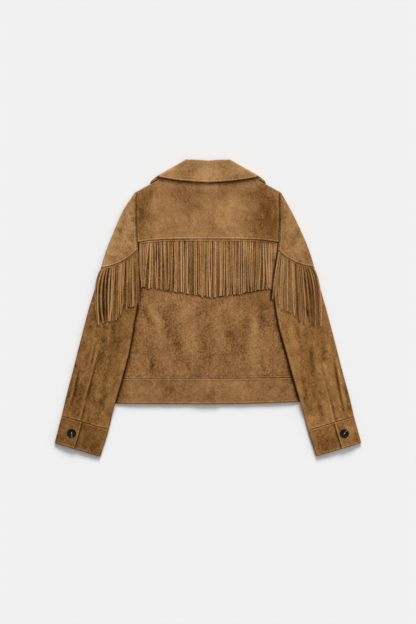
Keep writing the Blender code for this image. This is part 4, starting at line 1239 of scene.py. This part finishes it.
def under_fringe(side, x, y, past, ramp, last, fade):
    """1 where the sleeve fringe covers the sleeve, 0 past the strands' ends and past its outmost strand."""
    ends = [(row_x[1], row_y[1]) for row_x, row_y in zip(column(FRINGE_ENDS, f"{side} x"),
                                                          column(FRINGE_ENDS, f"{side} y"))]
    return smooth((y - past - read_off(ends, np.abs(x))) / ramp) * (1.0 - smooth((np.abs(x) - last) / fade))


for side, sign in SIDES.items():
    # Painted shade on the sleeve under its fringe.
    darken(cloth(f"sleeve_top_{side}"), lambda x, y: 0.55 * under_fringe(side, x, y, 2.0, 8.0, 256.0, 9.0))
    share = np.linspace(0.03, 0.985, 19)
    heads, _ = sleeve_point(side, sleeve_yoke_section(share) + 0.045, share, SLEEVE_HIGH, SUEDE)
    ends = path_of(FRINGE_ENDS, side, share)
    end_x = ends[:, 0] + rng.normal(0.0, 1.3, len(share))
    end_y = ends[:, 1] + rng.normal(0.0, 3.0, len(share))
    fringe = make_strands(f"sleeve_fringe_{side}_strands", heads[:, :2], line_of(end_x * sign, end_y),
                          top_of(f"sleeve_top_{side}", f"sleeve_under_{side}", "back_centre",
                                 f"back_side_{side}"), SLEEVE_FRINGE_SUEDE, spread=1.2, ease=1.25,
                          bows=sign * SLEEVE_FRINGE_BOW[side] * smooth((share - 0.66) / 0.34))
    u, v = np.meshgrid(np.linspace(0.01, 0.99, 60), np.linspace(0.0, 1.0, 5))
    section = sleeve_yoke_section(u) + mix(0.075, 0.006, v)
    outer, inner = sleeve_point(side, section, u, SLEEVE_HIGH, SUEDE)
    outer = settled(outer)
    inner = outer.copy()
    outer[..., 2] += 1.9 - 0.8 * smooth(v * 1.3 - 0.3)
    inner[..., 2] += 0.4
    with_head(fringe, outer, inner, 0.45 - 0.6 * under_yoke(v))
    sew_in(fringe, SLEEVE_FRINGE_SUEDE, node=f"fringe_sleeve_{side}")

# Painted shade, darker still, under the left sleeve's fringe, and painted shadow beside the right one's
# inmost strands, which hang past the sleeve's fold over the body.
for part in ("top", "under"):
    darken(cloth(f"sleeve_{part}_left"),
           lambda x, y: 0.4 * under_fringe("left", x, y, 3.0, 9.0, 259.5, 7.0))
inmost = line_of([163.5, 152.5, 151.0], [116.0, 44.0, 20.0])
darken_along((fringe_back, back_centre, cloth("back_side_right")), inmost, (1.1, 2.6))

# ---- The buttons -----------------------------------------------------------------------------------------
# Black turned buttons with a rim, a dished face and two thread holes, sewn on with tan thread: one on
# each cuff and six down the front, which face the ground.
BUTTON_RADIUS = 11.0
DISH = 0.56                # height of the dished face, as a share of the button's thickness
HOLE_OFF = 1.75            # thread holes from the middle
HOLE_RADIUS = 0.95
THREAD_RADIUS = 0.34


def button_mesh():
    """One button about the origin, from its back at 0 to its rim, in metres."""
    r, t = BUTTON_RADIUS * MM, BUTTON_THICK * MM
    profile = [(0.0, DISH * t), (0.30 * r, 0.55 * t), (0.55 * r, 0.58 * t), (0.66 * r, 0.68 * t),
               (0.74 * r, 0.86 * t), (0.80 * r, 0.97 * t), (0.87 * r, t), (0.94 * r, 0.93 * t),
               (0.985 * r, 0.76 * t), (r, 0.55 * t), (0.985 * r, 0.32 * t), (0.9 * r, 0.1 * t),
               (0.78 * r, 0.0), (0.0, 0.0)]
    bm = bmesh.new()
    verts = [bm.verts.new((x, 0.0, z)) for x, z in profile]
    edges = [bm.edges.new(pair) for pair in zip(verts, verts[1:])]
    bmesh.ops.spin(bm, geom=verts + edges, cent=(0, 0, 0), axis=(0, 0, 1), angle=2 * math.pi, steps=56,
                   use_merge=True)
    bmesh.ops.remove_doubles(bm, verts=bm.verts, dist=1e-6)
    bmesh.ops.recalc_face_normals(bm, faces=bm.faces)
    mesh = bpy.data.meshes.new("button")
    bm.to_mesh(mesh)
    bm.free()
    blank = put_in("button_blank", mesh)
    drill_mesh = bpy.data.meshes.new("thread_holes")
    bm = bmesh.new()
    for way in (-1, 1):
        hole = bmesh.ops.create_cone(bm, cap_ends=True, segments=20, radius1=HOLE_RADIUS * MM,
                                     radius2=HOLE_RADIUS * MM, depth=8 * MM)["verts"]
        bmesh.ops.translate(bm, verts=hole, vec=(0, way * HOLE_OFF * MM, 0))
    bm.to_mesh(drill_mesh)
    bm.free()
    drill = put_in("thread_holes", drill_mesh)
    cut = blank.modifiers.new("holes", "BOOLEAN")
    cut.object, cut.solver = drill, "EXACT"
    bpy.context.view_layer.update()
    drilled = bpy.data.meshes.new_from_object(blank.evaluated_get(bpy.context.evaluated_depsgraph_get()))
    for part in (blank, drill):
        bpy.data.objects.remove(part)
    drilled.shade_smooth()
    drilled.set_sharp_from_angle(angle=math.radians(35.0))
    return drilled


def uneven(name, dark, light, scale, detail):
    """Material whose colour wanders finely between two. Returns it, its tree, its shader and its noise."""
    material, tree, shader = new_material(name)
    where, noise, tint = new_nodes(tree, "ShaderNodeTexCoord", "ShaderNodeTexNoise", "ShaderNodeMix")
    tint.data_type = "RGBA"
    set_inputs(noise, Scale=scale, Detail=detail)
    set_inputs(tint, A=(*dark, 1.0), B=(*light, 1.0))
    join_up(tree, (where, "Object", noise, "Vector"), (noise, "Fac", tint, "Factor"),
            (tint, "Result", shader, "Base Color"))
    return material, tree, shader, noise


def button_black():
    """Black polyester, glossy, with fine scratches in the gloss."""
    material, tree, shader, scratches = uneven("button_black", (0.003, 0.003, 0.0035),
                                               (0.010, 0.0095, 0.009), 700.0, 3.0)
    rough = tree.nodes.new("ShaderNodeMapRange")
    set_inputs(rough, To_Min=0.25, To_Max=0.5)
    set_inputs(shader, Specular_IOR_Level=0.14)
    join_up(tree, (scratches, "Fac", rough, "Value"), (rough, "Result", shader, "Roughness"))
    return material


def thread(name, colour):
    """Matt sewing thread with a slight unevenness along it."""
    dark, light = ([c * share for c in colour] for share in (0.75, 1.25))
    material, _, shader, _ = uneven(name, dark, light, 900.0, 2.0)
    set_inputs(shader, Roughness=0.7)
    return material


def tube(bm, points, radius, sides=6):
    """Round bar along points, closed at both ends."""
    rings = []
    for i, here in enumerate(points):
        way = (points[min(i + 1, len(points) - 1)] - points[max(i - 1, 0)]).normalized()
        aside = way.cross(Vector((0, 0, 1)))
        aside = aside.normalized() if aside.length > 1e-6 else Vector((1, 0, 0))
        up = aside.cross(way)
        rings.append([bm.verts.new(here + (aside * math.cos(a) + up * math.sin(a)) * radius)
                      for a in (2 * math.pi * k / sides for k in range(sides))])
    for a, b in zip(rings, rings[1:]):
        for k in range(sides):
            bm.faces.new((a[k], a[(k + 1) % sides], b[(k + 1) % sides], b[k]))
    bm.faces.new(rings[0][::-1])
    bm.faces.new(rings[-1])


BUTTON = button_mesh()
BUTTON_BLACK = button_black()
BUTTON_THREAD = thread("button_thread", (0.52, 0.40, 0.25))


def place_button(name, node, face_up, spin, tail=()):
    """A button where its CAD solid is, with its thread across between the holes and perhaps a loose end."""
    low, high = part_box(node)
    middle = (low + high) / 2
    bm = bmesh.new()
    bm.from_mesh(BUTTON)
    plain = len(bm.faces)
    for off in (-0.5, 0.0, 0.5):
        tube(bm, [Vector((off, share * HOLE_OFF, DISH * BUTTON_THICK + 0.55 * (1 - abs(share) ** 3)
                          - 0.5 * abs(share) ** 6)) * MM
                  for share in (-1.0, -0.85, -0.6, -0.3, 0.0, 0.3, 0.6, 0.85, 1.0)], THREAD_RADIUS * MM)
    if tail:
        tube(bm, [Vector(point) * MM for point in tail], THREAD_RADIUS * MM)
    for index, face in enumerate(bm.faces):
        face.material_index = 0 if index < plain else 1
    turn = Matrix.Rotation(math.radians(spin), 3, "Z")
    for vert in bm.verts:
        x, y, z = turn @ vert.co
        if face_up:
            vert.co = (middle.x + x, middle.y + y, low.z + z)
        else:
            vert.co = (middle.x + x, middle.y - y, high.z - z)
    bmesh.ops.recalc_face_normals(bm, faces=bm.faces)
    mesh = bpy.data.meshes.new(name)
    bm.to_mesh(mesh)
    bm.free()
    mesh.materials.append(BUTTON_BLACK)
    mesh.materials.append(BUTTON_THREAD)
    button = put_in(name, mesh)
    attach(button, "root")
    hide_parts(node)


LOOSE_END = [(0.2, -1.7, 1.3), (0.3, -3.6, 1.9), (0.1, -6.0, 2.5), (0.4, -8.6, 2.9), (0.2, -10.9, 2.5)]
place_button("cuff_button_left_turned", "cuff_button_left", True, 3.0, tail=LOOSE_END)
place_button("cuff_button_right_turned", "cuff_button_right", True, 138.0, tail=LOOSE_END)
for number in range(1, 7):
    place_button(f"front_button_{number}_turned", f"front_button_{number}", False, 8.0 * number)

# ---- The stitching ---------------------------------------------------------------------------------------
# Tan topstitching beside every seam and edge, about eight stitches to the inch, and a bar tack where the
# waistband's ends meet behind.


def stitch_tree():
    """Lays stitches along lines: a small rounded thread at each step, along the line."""
    tree = bpy.data.node_groups.new("topstitching", "GeometryNodeTree")
    given, out = with_sockets(tree, [("Lines", "Geometry"), ("Pitch", "Float", 0.0032),
                                     ("Length", "Float", 0.0025), ("Thickness", "Float", 0.0006),
                                     ("Material", "Material")], [("Stitches", "Geometry")])
    curve, steps, bead, size = new_nodes(tree, "GeometryNodeMeshToCurve", "GeometryNodeResampleCurve",
                                         "GeometryNodeMeshIcoSphere", "ShaderNodeCombineXYZ")
    way, facing, lay = new_nodes(tree, "GeometryNodeInputTangent", "FunctionNodeAlignRotationToVector",
                                 "GeometryNodeInstanceOnPoints")
    even, real, finish = new_nodes(tree, "GeometryNodeSetShadeSmooth", "GeometryNodeRealizeInstances",
                                   "GeometryNodeSetMaterial")
    steps.mode, facing.axis = "LENGTH", "X"
    set_inputs(bead, Radius=0.5, Subdivisions=1)
    join_up(tree, (given, "Lines", curve, "Mesh"), (curve, "Curve", steps, "Curve"),
            (given, "Pitch", steps, "Length"), (steps, "Curve", lay, "Points"),
            (bead, "Mesh", lay, "Instance"), (way, "Tangent", facing, "Vector"),
            (facing, "Rotation", lay, "Rotation"), (given, "Length", size, "X"),
            (given, "Thickness", size, "Y"), (given, "Thickness", size, "Z"),
            (size, "Vector", lay, "Scale"), (lay, "Instances", even, "Geometry"),
            (even, "Geometry", real, "Geometry"), (real, "Geometry", finish, "Geometry"),
            (given, "Material", finish, "Material"), (finish, "Geometry", out, "Stitches"))
    return tree


TOPSTITCH = stitch_tree()
STITCH_THREAD = thread("stitch_thread", (0.34, 0.20, 0.095))
STITCH_RISE = 0.17         # middle of a stitch above the cloth
STITCH_THICK = 0.00055     # this and the pitch are in metres, for the nodes
STITCH_PITCH = 0.0032


def stitched(name, lines, below, pitch=STITCH_PITCH):
    """Rows of stitches on the top of pieces, along plan lines in mm."""
    laid = [np.concatenate([line, height_on(below, line[:, 0], line[:, 1])[:, None] + STITCH_RISE], -1)
            for line in lines]
    rows = line_mesh(name, laid)
    grown(rows, TOPSTITCH, {"Pitch": pitch, "Length": pitch * 0.8, "Thickness": STITCH_THICK,
                            "Material": STITCH_THREAD})
    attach(rows, "root")


def across_body(curve, half, offset):
    x = np.linspace(-half, half, 220)
    return line_of(x, curve(x) + offset)


body_rows = [across_body(waist_y, 228.0, 4.4), across_body(waist_y, 228.0, -2.3),
             across_body(hem_y, 228.0, 7.0)]
for side, sign in SIDES.items():
    y = np.linspace(WAIST_Y + 4.0, 90.0, 120)
    body_rows.append(line_of((panel_seam(y, side) + 4.6) * sign, y))
body_tack = [line_of(12.6, np.linspace(-161.0, -182.0, 12))]
body_top = top_of("back_centre", "waistband_back", "back_side_left", "back_side_right")
stitched("body_stitches", body_rows, body_top)
stitched("bar_tack", body_tack, body_top, pitch=0.0009)
yoke_rows = [across_body(yoke_y, 169.0, 5.0)]
for sign in SIDES.values():
    y = np.linspace(165.0, 276.0, 60)
    yoke_rows.append(line_of((body_half(y) - 6.4) * sign, y))
stitched("yoke_stitches", yoke_rows, top_of("back_yoke"))

for side, sign in SIDES.items():
    lines = []
    share = np.linspace(0.02, 0.99, 90)
    rows = [(f"sleeve_yoke_{side}_cloth", sleeve_yoke_section(share) - 0.083, share)]
    section = np.linspace(6.0, 8.9, 90)
    rows.append((f"sleeve_under_{side}_cloth", section, np.full_like(section, BACK_SEAM - 0.045)))
    inner = np.linspace(0.03, CUFF_UNDERLAP - 0.02, 60)
    outer = np.linspace(CUFF_LAP + 0.045, 0.985, 50)
    for away in (0.085, 0.91):
        rows.append((f"cuff_{side}_cloth", np.full_like(inner, CUFF_SECTION + away),
                     inner[inner < CUFF_LAP - 0.01]))
        rows.append((f"cuff_{side}_cloth", np.full_like(outer, CUFF_SECTION + away), outer))
    down = np.linspace(CUFF_SECTION + 0.085, CUFF_SECTION + 0.91, 40)
    rows.append((f"cuff_{side}_cloth", down, np.full_like(down, CUFF_LAP + 0.045)))
    for piece_name, section, share in rows:
        section = section[:len(share)]
        high = CUFF_HIGH if "cuff" in piece_name else SLEEVE_HIGH
        plan, _ = sleeve_point(side, section, share, high, SUEDE)
        lines.append(plan[:, :2])
    stitched(f"sleeve_{side}_stitches", lines,
             top_of(*(f"{part}_{side}" for part in ("sleeve_yoke", "sleeve_under", "sleeve_top", "cuff"))))

signed = np.linspace(-3.0, 3.0, 220)
roll, edge, _, _, _, sign = collar_frame(signed)
collar_line = edge - towards(roll, edge) * COLLAR_STITCH
collar_line[:, 0] *= sign
stitched("collar_stitches", [collar_line], top_of("collar_leaf"))

# ---- The floor, the light and the camera -----------------------------------------------------------------
# A pale even floor, a wide soft light from beyond the collar, a pale surround, and a camera straight above.
FLOOR_HALF, FLOOR_Z = 6.0, -0.0004
floor_mesh = bpy.data.meshes.new("floor")
floor_mesh.from_pydata([(x * FLOOR_HALF, y * FLOOR_HALF, FLOOR_Z)
                        for x, y in ((-1, -1), (1, -1), (1, 1), (-1, 1))], [], [(0, 1, 2, 3)])
pale, _, pale_shader = new_material("pale_floor")
set_inputs(pale_shader, Base_Color=(0.905, 0.905, 0.905, 1.0), Roughness=0.9, Specular_IOR_Level=0.0)
floor_mesh.materials.append(pale)
put_in("floor", floor_mesh)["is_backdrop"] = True

world = bpy.data.worlds.new("studio")
world.use_nodes = True
set_inputs(world.node_tree.nodes["Background"], Color=(1.0, 1.0, 1.0, 1.0), Strength=0.37)
bpy.context.scene.world = world

for name, strength, spread, toward in (("key", 3.14, 24.0, (0.08, 0.86, 0.50)),
                                       ("fill", 0.62, 50.0, (0.85, 0.35, 0.55))):
    light = put_in(name, bpy.data.lights.new(name, "SUN"))
    light.data.energy, light.data.angle = strength, math.radians(spread)
    light.rotation_euler = Vector(toward).to_track_quat("Z", "Y").to_euler()

camera = put_in("camera", bpy.data.cameras.new("camera"))
camera.data.lens, camera.data.sensor_width = 100.0, 36.0
camera.data.clip_start, camera.data.clip_end = 0.1, 50.0
camera.location = (0.0, -0.0096, 4.168)
bpy.context.scene.camera = camera
bpy.context.scene.view_settings.view_transform = "Standard"

low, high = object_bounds()
